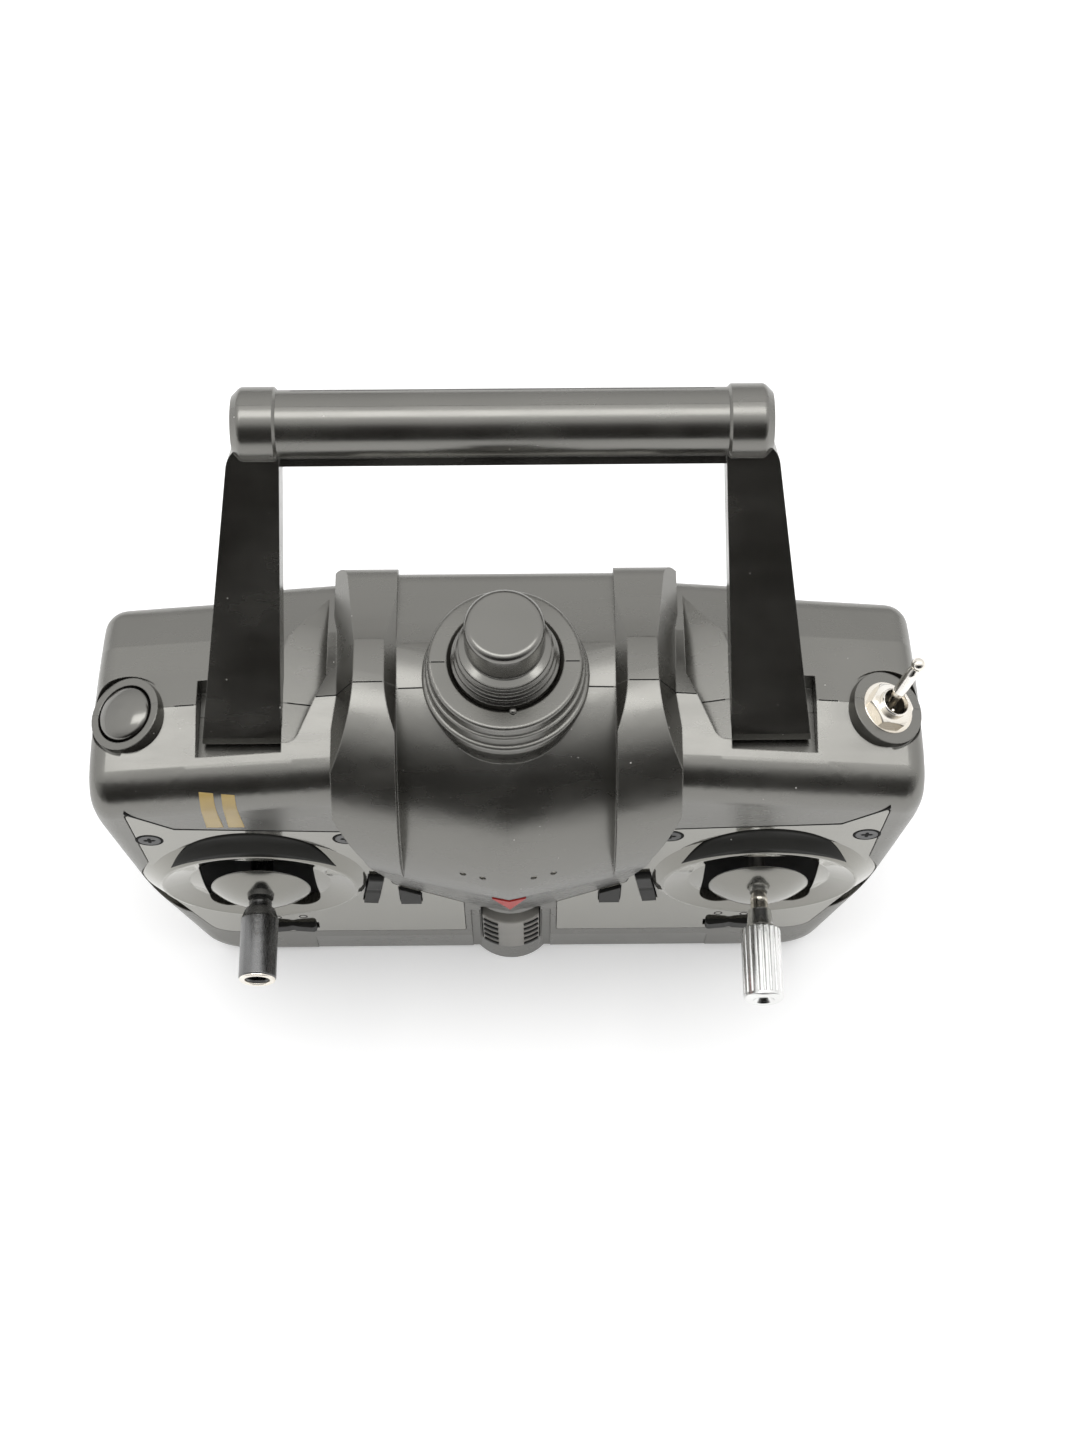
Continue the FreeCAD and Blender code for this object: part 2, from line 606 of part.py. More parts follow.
PLATE = [
    ("11.5", "plate_foot", "0.8"), ("foot_x - 2.5", "plate_foot", "7"), ("hip_x - 4.4", "46", "60"),
    ("half_width - 7.8", "95", "1"), ("76", "85.5", "3"), ("35", "83", "1.5"), ("28.2", "49.5", "1"),
    ("11.5", "36.3", "1"),
]
SCREWS = (("screw_x_in", "screw_z"), ("screw_x_out", "screw_z"))
LEAN = math.radians(8)
TRIMS = {
    "side": (("side_trim_x", "side_trim_z"), Vector(-math.sin(LEAN), 0, math.cos(LEAN)), "side_trim_len"),
    "lower": (("trim_x", "trim_z"), X, "trim_len"),
}


def trim_frame(along):
    """Local X along the rocker, local Z out of the face."""
    return Rotation(along, along.cross(Y) * -1, Y * -1, "XZY")


def trim_slot(kind):
    (x, z), along, length = TRIMS[kind]
    corners = rectangle(f"-({length}) / 2 - 0.6", "-trim_wide / 2 - 0.3", f"({length}) / 2 + 0.6",
                        "trim_wide / 2 + 0.3")
    return padded(f"{kind}_trim_slot", "XY", corners, "12", (x, "-front_depth + 6", z), trim_frame(along))


def rocker(kind):
    """A trim rocker with its two pins, its pivot just behind the face plate."""
    (x, z), along, length = TRIMS[kind]
    place = (x, "-front_depth + 3.1", z)
    bar = padded(f"{kind}_rocker", "XZ", [
        (f"-({length}) / 2", "-1"), (f"({length}) / 2", "-1"), (f"({length}) / 2", "4.5", "1"),
        ("1.2", "4.1", "3"), ("0", "3.8", "2"), ("-1.2", "4.1", "3"), (f"-({length}) / 2", "4.5", "1"),
    ], "trim_wide", place, trim_frame(along), True)
    return fused(f"{kind}_rocker_whole", bar, trim_pin(kind, "trim", "0.7"))


def trim_pin(kind, name, radius):
    (x, z), along, _ = TRIMS[kind]
    across = along.cross(Y)
    start = [f"{base} - ({part:.5f}) * (trim_wide / 2 + 1.4)" for base, part in zip(
        (x, "-front_depth + 3.1", z), across)]
    return rod(f"{kind}_{name}_pin", radius, "trim_wide + 2.8", start, tuple(across))


trim_holes = both_sides("trim_holes", fused("one_side_trim_holes", *(
    part for kind in TRIMS for part in (trim_slot(kind), trim_pin(kind, "hole", "0.75")))))

key_outline = [
    ("key_x - key_wide / 2", "key_foot"), ("key_x + key_wide / 2", "key_foot"),
    ("key_x + key_wide / 2", "key_foot + 10"), ("key_x - key_wide / 2", "key_foot + 6.2"),
]
key_hole = extruded("key_hole", outline("key_hole_outline", "XZ", [
    ("key_x - key_wide / 2 - 0.25", "key_foot - 0.25"), ("key_x + key_wide / 2 + 0.25", "key_foot - 0.25"),
    ("key_x + key_wide / 2 + 0.25", "key_foot + 10.4"), ("key_x - key_wide / 2 - 0.25", "key_foot + 6.3"),
], ("0", "-front_depth - 4", "0")), (0, 1, 0), "12")
key_holes = both_sides("key_holes", key_hole)
key_button = fused("key_button",
    extruded("key_cap", outline("key_outline", "XZ", key_outline, ("0", "-front_depth - 0.8", "0")),
             (0, 1, 0), "6"),
    block("key_foot_plate", ("key_wide + 1.4", "1", "12.4"),
          ("key_x - key_wide / 2 - 0.7", "-front_depth + 5.2", "key_foot - 0.9")))

RING_LEAN = math.radians(number("ring_lean"))
RING_AXIS = (0, -math.cos(RING_LEAN), -math.sin(RING_LEAN))
RING_AT = ("gimbal_x", "gimbal_y", "gimbal_z + ring_rise")
ring_turn = turned("ring_turn", [
    ("lip_r - 1.5", "crest_h - 1.3"), ("lip_r - 1.5", "crest_h - 0.8"),
    ("lip_r + 3.4", "crest_h - 1.8", "0.8"),
    ("crest_r - 1.3", "crest_h - 0.4", "2"), ("crest_r", "crest_h", "0.9"),
    ("crest_r + 0.8", "crest_h - 0.6", "0.6"),
    ("ring_foot_r", "crest_h - 3.4"), ("ring_foot_r", "crest_h - 3.9"), ("lip_r + 3", "crest_h - 3.9"),
], RING_AT, RING_AXIS)
ring_room = extruded("ring_room", front_view("ring_room_view", "1.5", "-front_depth * 2"), (0, 1, 0),
                     "front_depth * 2")
ring_window = padded("ring_window", "XY", [
    ("-lip_r", "-lip_r - 2.2", "6"), ("lip_r", "-lip_r - 2.2", "6"), ("lip_r", "lip_r + 4.5", "6"),
    ("-lip_r", "lip_r + 4.5", "6"),
], "12", ("gimbal_x", "gimbal_y - 9", "gimbal_z"), Rotation(X, Z, Y * -1, "XYZ"))
dome_room = ball("dome_room", "dome_r + 0.15", ("gimbal_x", "gimbal_y", "gimbal_z"))
plate_ring = cut("plate_ring", shared("ring_kept", ring_turn, ring_room), ring_window, dome_room)
ring_seat = rod("ring_seat", "ring_foot_r + 0.1", "12", (
    "gimbal_x", f"gimbal_y + (crest_h - 4) * {RING_AXIS[1]:.5f}",
    f"gimbal_z + ring_rise + (crest_h - 4) * {RING_AXIS[2]:.5f}"),
    RING_AXIS)
ring_seat_kept = shared("ring_seat_kept", ring_seat,
                        extruded("ring_seat_room", front_view("ring_seat_view", "1.4", "-front_depth * 2"),
                                 (0, 1, 0),
                                 "front_depth * 2"))
gimbal_hole = rod("plate_gimbal_hole", "crest_r - 1", "12", ("gimbal_x", "-front_depth - 6", "gimbal_z"), Y)


def plate_prism(name, grow, depth):
    """The face plate's outline, grown by the seam, from in front of the face to a depth behind it."""
    drawn = outline(f"{name}_outline", "XZ", PLATE if grow == "0" else [
        ("11.5 - gap", "plate_foot - gap", "0.8"), ("foot_x - 2.4", "plate_foot - gap", "7"),
        ("hip_x - 4.2", "46", "60"), ("half_width - 7.5", "95.4", "1"), ("76", "85.7", "3"),
        ("34.8", "83.2", "1.5"),
        ("28.05", "49.65", "1"), ("11.5 - gap", "36.5", "1"),
    ], ("0", "-front_depth - 4", "0"))
    return extruded(name, drawn, (0, 1, 0), f"{depth} + 4")


plate_recess = both_sides("plate_recess", plate_prism("recess", "gap", "plate_thick"))


def at_screws(name, radius, start, length):
    return group(name, *(rod(f"{name}_{i}", radius, length, (x, start, z), Y)
                         for i, (x, z) in enumerate(SCREWS, 1)))


plate_sheet = shared("plate_sheet", plate_prism("plate", "0", "plate_thick"), rounded_wings)
plate_blank = fused("plate_blank", cut("plate_open", plate_sheet, gimbal_hole), plate_ring)
plate_right = cut("plate_right", plate_blank, trim_holes, key_hole,
                  at_screws("plate_screw_seat", "screw_head_r + 0.2", "-front_depth - 1", "2"),
                  at_screws("plate_screw_hole", "1.3", "-front_depth - 1", "6"))
node("face_plate_right", plate_right)
node("face_plate_left", mirrored("plate_left", plate_right))

# ---------------------------------------------------------------- front shell

power_boss = rod("power_boss", "boss_r", "boss_top", ("0", "boss_y", "0"))
power_boss_hollow = rod("power_boss_hollow", "boss_r - 2.2", "boss_top - 3", ("0", "boss_y", "wall"))
power_boss_top = rod("power_boss_top", "boss_r", "2", ("0", "boss_y", "boss_top - 2.4"))
power_slot = block("power_slot", ("slot_half * 2", "10", "slot_top - slot_foot"),
                   ("-slot_half", "-front_depth - 4.5", "slot_foot"))

gimbal_opening = fused("gimbal_opening", ring_seat_kept,
                       rod("gimbal_hole", "housing_r + 1", "14",
                           ("gimbal_x", "-front_depth - 2", "gimbal_z"), Y))
chin = extruded("chin", outline("chin_view", "YZ", [
    ("-front_depth - 8", "-2"), ("-front_depth + 1.1", "-2"), ("-front_depth - 0.3", "16.2"),
    ("-front_depth - 8", "16.2"),
]), (1, 0, 0), "50", "50")
chin_keep = rod("chin_keep", "boss_r + 0.01", "boss_top", ("0", "boss_y", "0"))
gutter = block("gutter", ("19.8", "8", "32"), ("-9.9", "-front_depth - 6.8", "-1"))
chin_cut = cut("chin_cut", fused("chin_and_gutter", chin, gutter), chin_keep)

LAMPS = (("5.8", "82.4"), ("10.3", "82.6"))
lamp_holes = both_sides("lamp_holes", fused("one_side_lamp_holes", *(
    rod(f"lamp_hole_{i}", "0.75", "20", (x, "-front_depth * 2", z), Y)
    for i, (x, z) in enumerate(LAMPS, 1))))


def lens_prism(name, grow):
    corners = [(f"-4 - {grow}", f"66.5 + {grow}"), ("0", f"45 - {grow} * 5"),
               (f"4 + {grow}", f"66.5 + {grow}")]
    drawn = outline(f"{name}_outline", "XZ", corners, ("0", "-front_depth * 2", "0"))
    return extruded(name, drawn, (0, 1, 0), "front_depth")


lens_hole = lens_prism("lens_hole", "0.05")
front_posts = shared("front_posts", case,
                     at_posts("front_post", "post_r", "-front_depth + front_wall - 1", "19.6"))
screw_bosses = both_sides("screw_bosses",
                          at_screws("screw_boss", "2.8", "-front_depth + front_wall - 1", "6"))

front_half = block("front_half", ("280", "140", "280"), ("-140", "-140", "-60"))
front_stock = fused("front_stock", *common_parts, front_posts, screw_bosses, power_boss, power_boss_top)
front_cut = cut("front_cut", front_stock, *common_holes, plate_recess,
                both_sides("gimbal_openings", gimbal_opening), trim_holes, key_holes, power_boss_hollow,
                power_slot,
                chin_cut, lamp_holes, lens_hole,
                both_sides("face_screw_holes",
                           at_screws("face_screw_hole", "1.25", "-front_depth - 1", "10")),
                at_posts("front_post_hole", "1.45", "-12", "20"))
tongue_slot = block("tongue_slot", ("24.1", "5.1", "wall + 3"), ("-12.05", "-5.05", "-2"))
front_shell = cut("front_shell_solid", shared("front_shell_half", front_cut, front_half), tongue_slot)
node("front_shell", front_shell)

# ---------------------------------------------------------------- back shell with its battery bay

BAY = ("bay_half", "bay_foot", "bay_tall")
bay_box = block("bay_box", ("bay_half * 2 + 4.8", "back_depth - bay_y + 2.4", "bay_tall + 4.8"),
                ("-bay_half - 2.4", "bay_y - 2.4", "bay_foot - 2.4"))
bay_room = block("bay_room", ("bay_half * 2", "back_depth", "bay_tall"), ("-bay_half", "bay_y", "bay_foot"))
door_step = block("door_step", ("bay_half * 2 + 3", "10", "bay_tall + 3 + door_travel"),
                  ("-bay_half - 1.5", "back_depth - door_thick", "bay_foot - 1.5 - door_travel"))
bay_wire_hole = block("bay_wire_hole", ("8", "6", "5"),
                      ("bay_half - 12", "bay_y - 4", "bay_foot + bay_tall - 9"))
back_posts = shared("back_posts", at_posts("back_post", "post_r", "0.1", "back_depth"), case)
back_half = fused("back_half", block("behind_parting", ("280", "140", "280"), ("-140", "0", "-60")),
                  block("base_tongue", ("24", "5", "wall + 1"), ("-12", "-5", "-1")))
back_stock = fused("back_stock", *common_parts, back_posts, bay_box)
back_cut = cut("back_cut_out", back_stock, *common_holes, bay_room, door_step, bay_wire_hole,
               at_posts("back_screw_hole", "1.6", "-1", "back_depth + 2"),
               at_posts("back_screw_seat", "3", "wing_back - 4", "9"))
back_shell = shared("back_shell_solid", back_cut, back_half)
node("back_shell", back_shell)

rear_screws = group("rear_screw_set", at_posts("rear_screw_head", "screw_head_r", "wing_back - 4", "1.6"),
                    at_posts("rear_screw_shank", "screw_r", "-10", "wing_back + 6"))
node("rear_screws", fused("rear_screws_solid", *rear_screws.Links))

face_screw = fused("face_screw",
                   at_screws("face_screw_head", "screw_head_r - 0.1", "-front_depth - 0.1", "1.1"),
                   at_screws("face_screw_shank", "1.2", "-front_depth + 0.5", "8"))
node("front_screws", both_sides("front_screw_set", face_screw))

# ---------------------------------------------------------------- gimbals, drawn for the right side

GIMBAL = ("gimbal_x", "gimbal_y", "gimbal_z")
FLOOR_Y = "front_depth - front_wall"


def from_gimbal(dx="0", dy="0", dz="0"):
    return (f"gimbal_x + {dx}", f"gimbal_y + {dy}", f"gimbal_z + {dz}")


housing_section = [
    ("housing_in", "16.8"), ("housing_r + 2.2", "16.8"), ("housing_r + 2.2", "15"), ("housing_r", "15"),
    ("housing_r", "-9"), ("6", "-9"), ("6", "-7.4"), ("housing_in", "-7.4"),
]
housing_tube = turned("housing_tube", housing_section, ("gimbal_x", "0", "gimbal_z"), (0, -1, 0))
housing_bearings = rod("housing_bearings", "pivot_r + 0.05", "housing_r * 2 + 4",
                       from_gimbal("-housing_r - 2"), X)
housing_side = block("housing_side", ("6", "8", "60"),
                     ("gimbal_x + housing_r + 0.1", "-18", "gimbal_z - 30"))
housing = cut("housing", housing_tube, housing_bearings, housing_side)
node("gimbal_housing_right", housing)
node("gimbal_housing_left", mirrored("housing_left", housing))

yoke_ring = turned("yoke_ring", [("yoke_in", "-2"), ("yoke_r", "-2"), ("yoke_r", "2"), ("yoke_in", "2")],
                   GIMBAL, (0, -1, 0))
yoke_pins = cut("yoke_pins", rod("yoke_pin", "pivot_r", "housing_r * 2 + 1.6",
                                 from_gimbal("-housing_r - 1.6"), X),
                rod("yoke_pin_gap", "yoke_in + 1", "8", from_gimbal(dy="-4"), Y))
yoke = cut("yoke", fused("yoke_blank", yoke_ring, yoke_pins),
           rod("yoke_bearings", "pivot_r + 0.05", "yoke_r * 2 + 4", from_gimbal(dz="-yoke_r - 2"), Z))
node("yoke_right", yoke)
node("yoke_left", mirrored("yoke_left_solid", yoke))

pot_case = block("pot_case", ("7.6", "12", "13"), from_gimbal("-housing_r - 8", "-6", "-6.5"))
pot_bore = rod("pot_bore", "pivot_r + 0.05", "4", from_gimbal("-housing_r - 2.8"), X)
pot_legs = group("pot_legs", *(block(f"pot_leg_{i}", ("0.6", "1.2", "4"),
                                     from_gimbal("-housing_r - 6", str(dy), "-10"))
                               for i, dy in enumerate((-4.2, -0.6, 3), 1)))
pot = fused("pot", cut("pot_body", pot_case, pot_bore), pot_legs)
node("stick_pot_right", pot)
node("stick_pot_left", mirrored("pot_left", pot))

RIM = math.radians(37.6)


def dome(side):
    """A thin ball cap about the gimbal's centre, with a hole for the stick."""
    sign = "-" if side == "left" else ""
    at = (f"{sign}gimbal_x", "gimbal_y", "gimbal_z")
    whole = cut(f"dome_{side}_ball", ball(f"dome_{side}_outside", "dome_r", at),
                ball(f"dome_{side}_inside", "dome_r - dome_wall", at))
    keep = rod(f"dome_{side}_keep", "dome_r + 1", f"dome_r * (1 - {math.cos(RIM):.5f}) + 1",
               (at[0], "gimbal_y - dome_r - 1", at[2]), Y)
    hole = rod(f"dome_{side}_hole", "stick_left_r" if side == "left" else "stick_right_r", "dome_r + 2",
               (at[0], "gimbal_y - dome_r - 1", at[2]), Y)
    return cut(f"dome_{side}_solid", shared(f"dome_{side}_cap", whole, keep), hole)


def stick_pivot(side):
    """Hub and pins about the yoke's upright axis."""
    sign = "-" if side == "left" else ""
    at = (f"{sign}gimbal_x", "gimbal_y", "gimbal_z")
    hub = rod(f"stick_{side}_hub", "4", "12", (at[0], at[1], "gimbal_z - 6"))
    pins = rod(f"stick_{side}_pins", "pivot_r", "yoke_r * 2 - 0.6",
               (at[0], at[1], "gimbal_z - yoke_r + 0.3"))
    return fused(f"stick_{side}_pivot", hub, pins)


left_shaft = turned("left_shaft", [
    ("0", "2"), ("stick_left_r", "2"), ("stick_left_r", "stick_left_tip - 5"), ("0", "stick_left_tip - 5"),
], ("-gimbal_x", "gimbal_y", "gimbal_z"), (0, -1, 0))
node("stick_shaft_left", fused("left_stick", left_shaft, stick_pivot("left")))
node("dome_left", dome("left"))
left_sleeve = turned("left_sleeve", [
    ("stick_left_r", "21"), ("stick_left_r + 0.8", "21"), ("4.5", "23.6", "0.8"),
    ("4.5", "stick_left_tip - 0.5", "0.3"),
    ("4.1", "stick_left_tip", "0.3"), ("stick_left_r + 0.4", "stick_left_tip", "0.2"),
    ("stick_left_r", "stick_left_tip - 0.8"),
], ("-gimbal_x", "gimbal_y", "gimbal_z"), (0, -1, 0))
node("stick_grip_left", left_sleeve)

right_shaft = turned("right_shaft", [
    ("0", "2"), ("stick_right_r", "2"), ("stick_right_r", "stick_right_tip - 4"),
    ("0", "stick_right_tip - 4"),
], GIMBAL, (0, -1, 0))
node("stick_shaft_right", fused("right_stick", right_shaft, stick_pivot("right")))
node("dome_right", dome("right"))
right_sleeve = turned("right_sleeve", [
    ("stick_right_r", "22.2"), ("2.7", "22.2", "0.3"), ("3.4", "27", "1"), ("4.75", "27.4", "0.3"),
    ("4.75", "stick_right_tip - 0.4", "0.3"), ("4.2", "stick_right_tip", "0.2"),
    ("2.6", "stick_right_tip", "0.2"),
    ("1.6", "stick_right_tip - 1.2"), ("0", "stick_right_tip - 1.2"), ("0", "stick_right_tip - 4"),
    ("stick_right_r", "stick_right_tip - 4"),
], GIMBAL, (0, -1, 0))
FLUTES = 20
flutes = group("flutes", *(
    rod(f"flute_{i}", "0.42", "17.2", from_gimbal(
        f"4.85 * {math.cos(2 * math.pi * i / FLUTES):.5f}", "-stick_right_tip + 1.2",
        f"4.85 * {math.sin(2 * math.pi * i / FLUTES):.5f}"), Y) for i in range(FLUTES)))
node("stick_grip_right", cut("fluted_sleeve", right_sleeve, flutes))

# ---------------------------------------------------------------- trims and keys

node("trim_side_right", side_rocker := rocker("side"))
node("trim_side_left", mirrored("side_rocker_left", side_rocker))
node("trim_lower_right", lower_rocker := rocker("lower"))
node("trim_lower_left", mirrored("lower_rocker_left", lower_rocker))
node("key_right", key_button)
node("key_left", mirrored("key_button_left", key_button))

side_board = block("side_board", ("3.6", "1.2", "22"),
                   ("side_trim_x - 2.3", "-front_depth + 6", "side_trim_z - 11"))
lower_board = block("lower_board", ("20", "1.2", "9"), ("trim_x - 10", "-front_depth + 6", "trim_z - 4.5"))
key_board = block("key_board", ("9", "1.2", "14"), ("key_x - 4.5", "-front_depth + 8", "key_foot - 2"))
node("trim_boards", both_sides("trim_board_set", fused("one_side_boards", side_board, lower_board,
                                                       key_board)))

# ---------------------------------------------------------------- handle

E2 = Vector(0, math.sin(math.radians(number("arm_lean"))), math.cos(math.radians(number("arm_lean"))))
E3 = Vector(0, -E2.z, E2.y)
ARM_TURN = Rotation(X, E2, E3, "XYZ")


def on_handle(along, out, x="0"):
    """A point of the handle: so far up the arms, and so far in front of their front plane."""
    return (x, f"arm_y + ({along}) * {E2.y:.5f} + ({out}) * {E3.y:.5f}",
            f"arm_z + ({along}) * {E2.z:.5f} + ({out}) * {E3.z:.5f}")


arm = padded("arm", "XY", [
    ("arm_in", "-8", "2"), ("arm_out", "-8", "2"), ("arm_out_top", "bar_reach - 3", "6"),
    ("arm_in_top", "bar_reach - 3"),
], "arm_thick", on_handle("0", "-arm_thick"), ARM_TURN)
arm_foot = extruded("arm_foot", outline("arm_foot_view", "YZ", [
    ("-60", "60"), ("60", "60"), ("60", "102.4"), ("arm_y - 0.6", "102.4", "0.8"), ("arm_y - 0.6", "107.4"),
    ("-60", "107.4"),
]), (1, 0, 0), "80")
arm_trimmed = cut("arm_trimmed", arm, arm_foot)
tongue = block("tongue", ("12.6", "8", "16"), ("52.2", "-4", "92"))
bar = rod("bar", "bar_r", "bar_half * 2", on_handle("bar_reach", "-bar_set", "-bar_half"), X)
web = padded("web", "XY", [
    ("-arm_in_top - 4", "bar_reach - 8.6", "2"), ("arm_in_top + 4", "bar_reach - 8.6", "2"),
    ("arm_in_top + 4", "bar_reach"), ("-arm_in_top - 4", "bar_reach"),
], "5", on_handle("0", "-6.5"), ARM_TURN)
sleeve = turned("bar_sleeve", [
    ("0", "0"), ("sleeve_r - 0.6", "0"), ("sleeve_r", "0.6"), ("sleeve_r", "sleeve_len - 1.8", "1.5"),
    ("sleeve_r - 1.8", "sleeve_len"), ("0", "sleeve_len"),
], on_handle("bar_reach", "-bar_set", "bar_half - sleeve_len + 1.5"), X)
handle = fused("handle", bar, web, both_sides("arms_and_sleeves", fused("one_arm", arm_trimmed, tongue,
                                                                        sleeve)))

split_depth = "arm_thick / 2"


def halving(name, x_start, x_run):
    """Everything in front of the seam: up the arms' mid plane, then straight up through the bar."""
    low, high = on_handle("-30", f"-({split_depth})"), on_handle("bar_reach - 1", f"-({split_depth})")
    axis = on_handle("bar_reach", "-bar_set")
    drawn = outline(f"{name}_view", "YZ", [
        ("-150", low[2]), (low[1], low[2]), (high[1], high[2]), (axis[1], "230"), ("-150", "230"),
    ], (x_start, "0", "0"))
    return extruded(name, drawn, (1, 0, 0), x_run)


node("handle_front", shared("handle_front_solid", handle, halving("front_of_seam", "-100", "200")))
node("handle_rear", cut("handle_rear_solid", handle, halving("behind_seam", "-100", "200")))

# ---------------------------------------------------------------- aerial stub

stub = turned("stub", [
    ("0", "collar_z - 13.6"), ("stub_r + 2.2", "collar_z - 13.6"), ("stub_r + 2.2", "collar_z - 9.5"),
    ("stub_r", "collar_z - 9.5"), ("stub_r", "collar_top + 1", "0.3"), ("stub_r - 0.6", "collar_top + 1.6"),
    ("stub_r - 0.6", "collar_top + 2.6", "0.3"), ("stub_r - 1.2", "collar_top + 3.2"),
    ("stub_r - 1.2", "collar_top + 4.8", "0.3"), ("stub_r - 1.8", "collar_top + 5.2"),
    ("stub_r - 1.8", "collar_top + 6.2"), ("stub_cap_r - 0.4", "collar_top + 6.9", "0.4"),
    ("stub_cap_r - 0.4", "collar_top + 7.8"), ("stub_cap_r + 0.1", "collar_top + 8.2"),
    ("stub_cap_r", "stub_top", "1.5"),
    ("0", "stub_top"),
], ("0", "collar_y", "0"))
node("antenna_stub", stub)

# ---------------------------------------------------------------- shoulder controls

SEAT_LEFT = Vector(-SEAT.x, 0, SEAT.z)


def at_left_seat(depth):
    x, y, z = at_seat(depth)
    return (f"-({x})", y, z)


node("push_switch_body", turned("push_switch", [
    ("0", "-14"), ("button_r + 2", "-14"), ("button_r + 2", "-7"), ("button_r + 0.3", "-7"),
    ("button_r + 0.3", "-10.5"), ("0", "-10.5"),
], at_left_seat("0"), tuple(SEAT_LEFT)))
node("shoulder_button", turned("shoulder_button_solid", [
    ("0", "-8.5"), ("button_r", "-8.5"), ("button_r", "1.2", "1.1"), ("button_r - 2.2", "2.3", "8"),
    ("0", "2.9"),
], at_left_seat("0"), tuple(SEAT_LEFT)))

node("toggle_body", padded("toggle_base", "XY", rectangle("-4", "-6.5", "4", "6.5", "0.5"), "12",
                           at_seat("16.4"),
                           Rotation(SEAT_ACROSS, Y, SEAT, "XYZ")))
node("toggle_bushing", turned("toggle_bushing_solid", [
    ("2.6", "-4.4"), ("bushing_r", "-4.4"), ("bushing_r", "4"), ("bushing_r - 0.2", "4.3"), ("3.05", "4.3"),
    ("2.6", "3.4"),
], at_seat("0"), tuple(SEAT)))
hexagon = [(f"nut_flats / 1.73205 * {math.cos(math.pi * i / 3):.5f}",
            f"nut_flats / 1.73205 * {math.sin(math.pi * i / 3):.5f}")
           for i in range(6)]
nut_blank = padded("nut_blank", "XY", hexagon, "2.2", at_seat("-seat_rise"),
                   Rotation(SEAT_ACROSS, Y, SEAT, "XYZ"))
nut_chamfer = turned("nut_chamfer", [
    ("0", "-0.1"), ("nut_flats / 2 + 0.75", "-0.1"), ("nut_flats / 2 + 0.75", "1.8"),
    ("nut_flats / 2", "2.2"),
    ("0", "2.2"),
], at_seat("-seat_rise"), tuple(SEAT))
nut_hole = rod("nut_hole", "bushing_r", "6", at_seat("1"), tuple(SEAT))
node("toggle_nut", cut("nut", shared("nut_shape", nut_blank, nut_chamfer), nut_hole))

TIP = math.radians(19)
LEVER = SEAT * math.cos(TIP) + Y * math.sin(TIP)
lever_shaft = turned("lever_shaft", [
    ("0", "-3.4"), ("0.7", "-3.4"), ("1.05", "-1.6"), ("1.15", "3.8", "3"), ("1.45", "6"),
    ("1.45", "lever_reach - 4.4", "4"), ("1.05", "lever_reach - 2.2"), ("0", "lever_reach - 2.2"),
], at_seat("0"), tuple(LEVER))
lever_end = [f"{base} + ({part:.5f}) * (lever_reach - 1.6)" for base, part in zip(at_seat("0"), LEVER)]
lever = fused("lever", lever_shaft, ball("lever_ball", "1.6", lever_end))
node("toggle_lever", fused("toggle_lever_solid", lever, rod("toggle_pin", "0.6", "3.4", tuple(
    f"{base} - ({part:.5f}) * 1.7" for base, part in zip(at_seat("0"), SEAT_ACROSS)), tuple(SEAT_ACROSS))))

# ---------------------------------------------------------------- console: lens, lamps, power switch

nearer = group("nearer_hood", hood("lens_face", "0"))
nearer.Placement = Placement(Vector(0, -0.35, 0), Rotation())
lens_block = cut("lens_block", shared("lens_front", lens_prism("lens", "0"), nearer), cavity)
node("power_lens", lens_block)
lamp_pins = both_sides("lamp_pins", fused("one_side_lamps", *(
    rod(f"lamp_{i}", "0.7", f"7.4 - {x} * prow_sweep", (x, f"-33.2 + {x} * prow_sweep", z), Y)
    for i, (x, z) in enumerate(LAMPS, 1))))
lamp_bar = block("lamp_bar", ("25", "1", "4"), ("-12.5", "-26.6", "80.5"))
node("status_leds", fused("lamp_set", lamp_pins, lamp_bar))
node("indicator_board", block("indicator_board_solid", ("26", "1.4", "26"), ("-13", "-25.6", "66")))

slider_round = turned("slider_round", [
    ("9", "slot_foot + 0.5", "0.3"), ("boss_r + 0.5", "slot_foot + 0.5", "0.5"),
    ("boss_r + 0.5", "slot_foot + 0.5 + slider_tall", "0.5"), ("9", "slot_foot + 0.5 + slider_tall", "0.3"),
], ("0", "boss_y", "0"))
slider_keep = block("slider_keep", ("14.2", "12", "40"), ("-7.1", "-front_depth - 4.5", "0"))
slider_stem = block("slider_stem", ("4", "5.4", "4"), ("-2", "-20.6", "slot_foot + 7.5"))
node("power_slider", fused("slider", shared("slider_front", slider_round, slider_keep), slider_stem))
switch_block = block("switch_block", ("11", "7", "20"), ("-5.5", "-16.8", "slot_foot + 2"))
switch_slot = block("switch_slot", ("4.6", "2.6", "10.2"), ("-2.3", "-17.2", "slot_foot + 7"))
node("power_switch_body", cut("switch_body", switch_block, switch_slot))

# ---------------------------------------------------------------- boards, battery, door

board = block("board", ("60", "1.6", "76"), ("-30", "board_y", "22"))
board_holes = at_posts("board_hole", "1", "0", "6")
node("main_board", board)
node("radio_module", fused("radio_module_solid", block("radio_can", ("22", "4", "16"), ("-26",
                                                                                        "board_y - 4",
                                                                                        "78")),
     block("crystal", ("10", "3.4", "4"), ("6", "board_y - 3.4", "70"))))


def cell(number_):
    """An AA cell along X, its pole on alternate sides."""
    way = 1 if number_ % 2 else -1
    centre = f"bay_foot + 8.2 + cell_pitch * {number_ - 1} + 0.3"
    return turned(f"cell_{number_}", [
        ("0", "0"), ("cell_r", "0", "0.5"), ("cell_r", "cell_len - 1.4", "0.8"), ("2.75", "cell_len - 1.4"),
        ("2.75", "cell_len - 0.2", "0.3"), ("0", "cell_len - 0.2"),
    ], (f"-cell_len / 2 * {way}", "bay_y + 0.4 + cell_r", centre), (way, 0, 0))


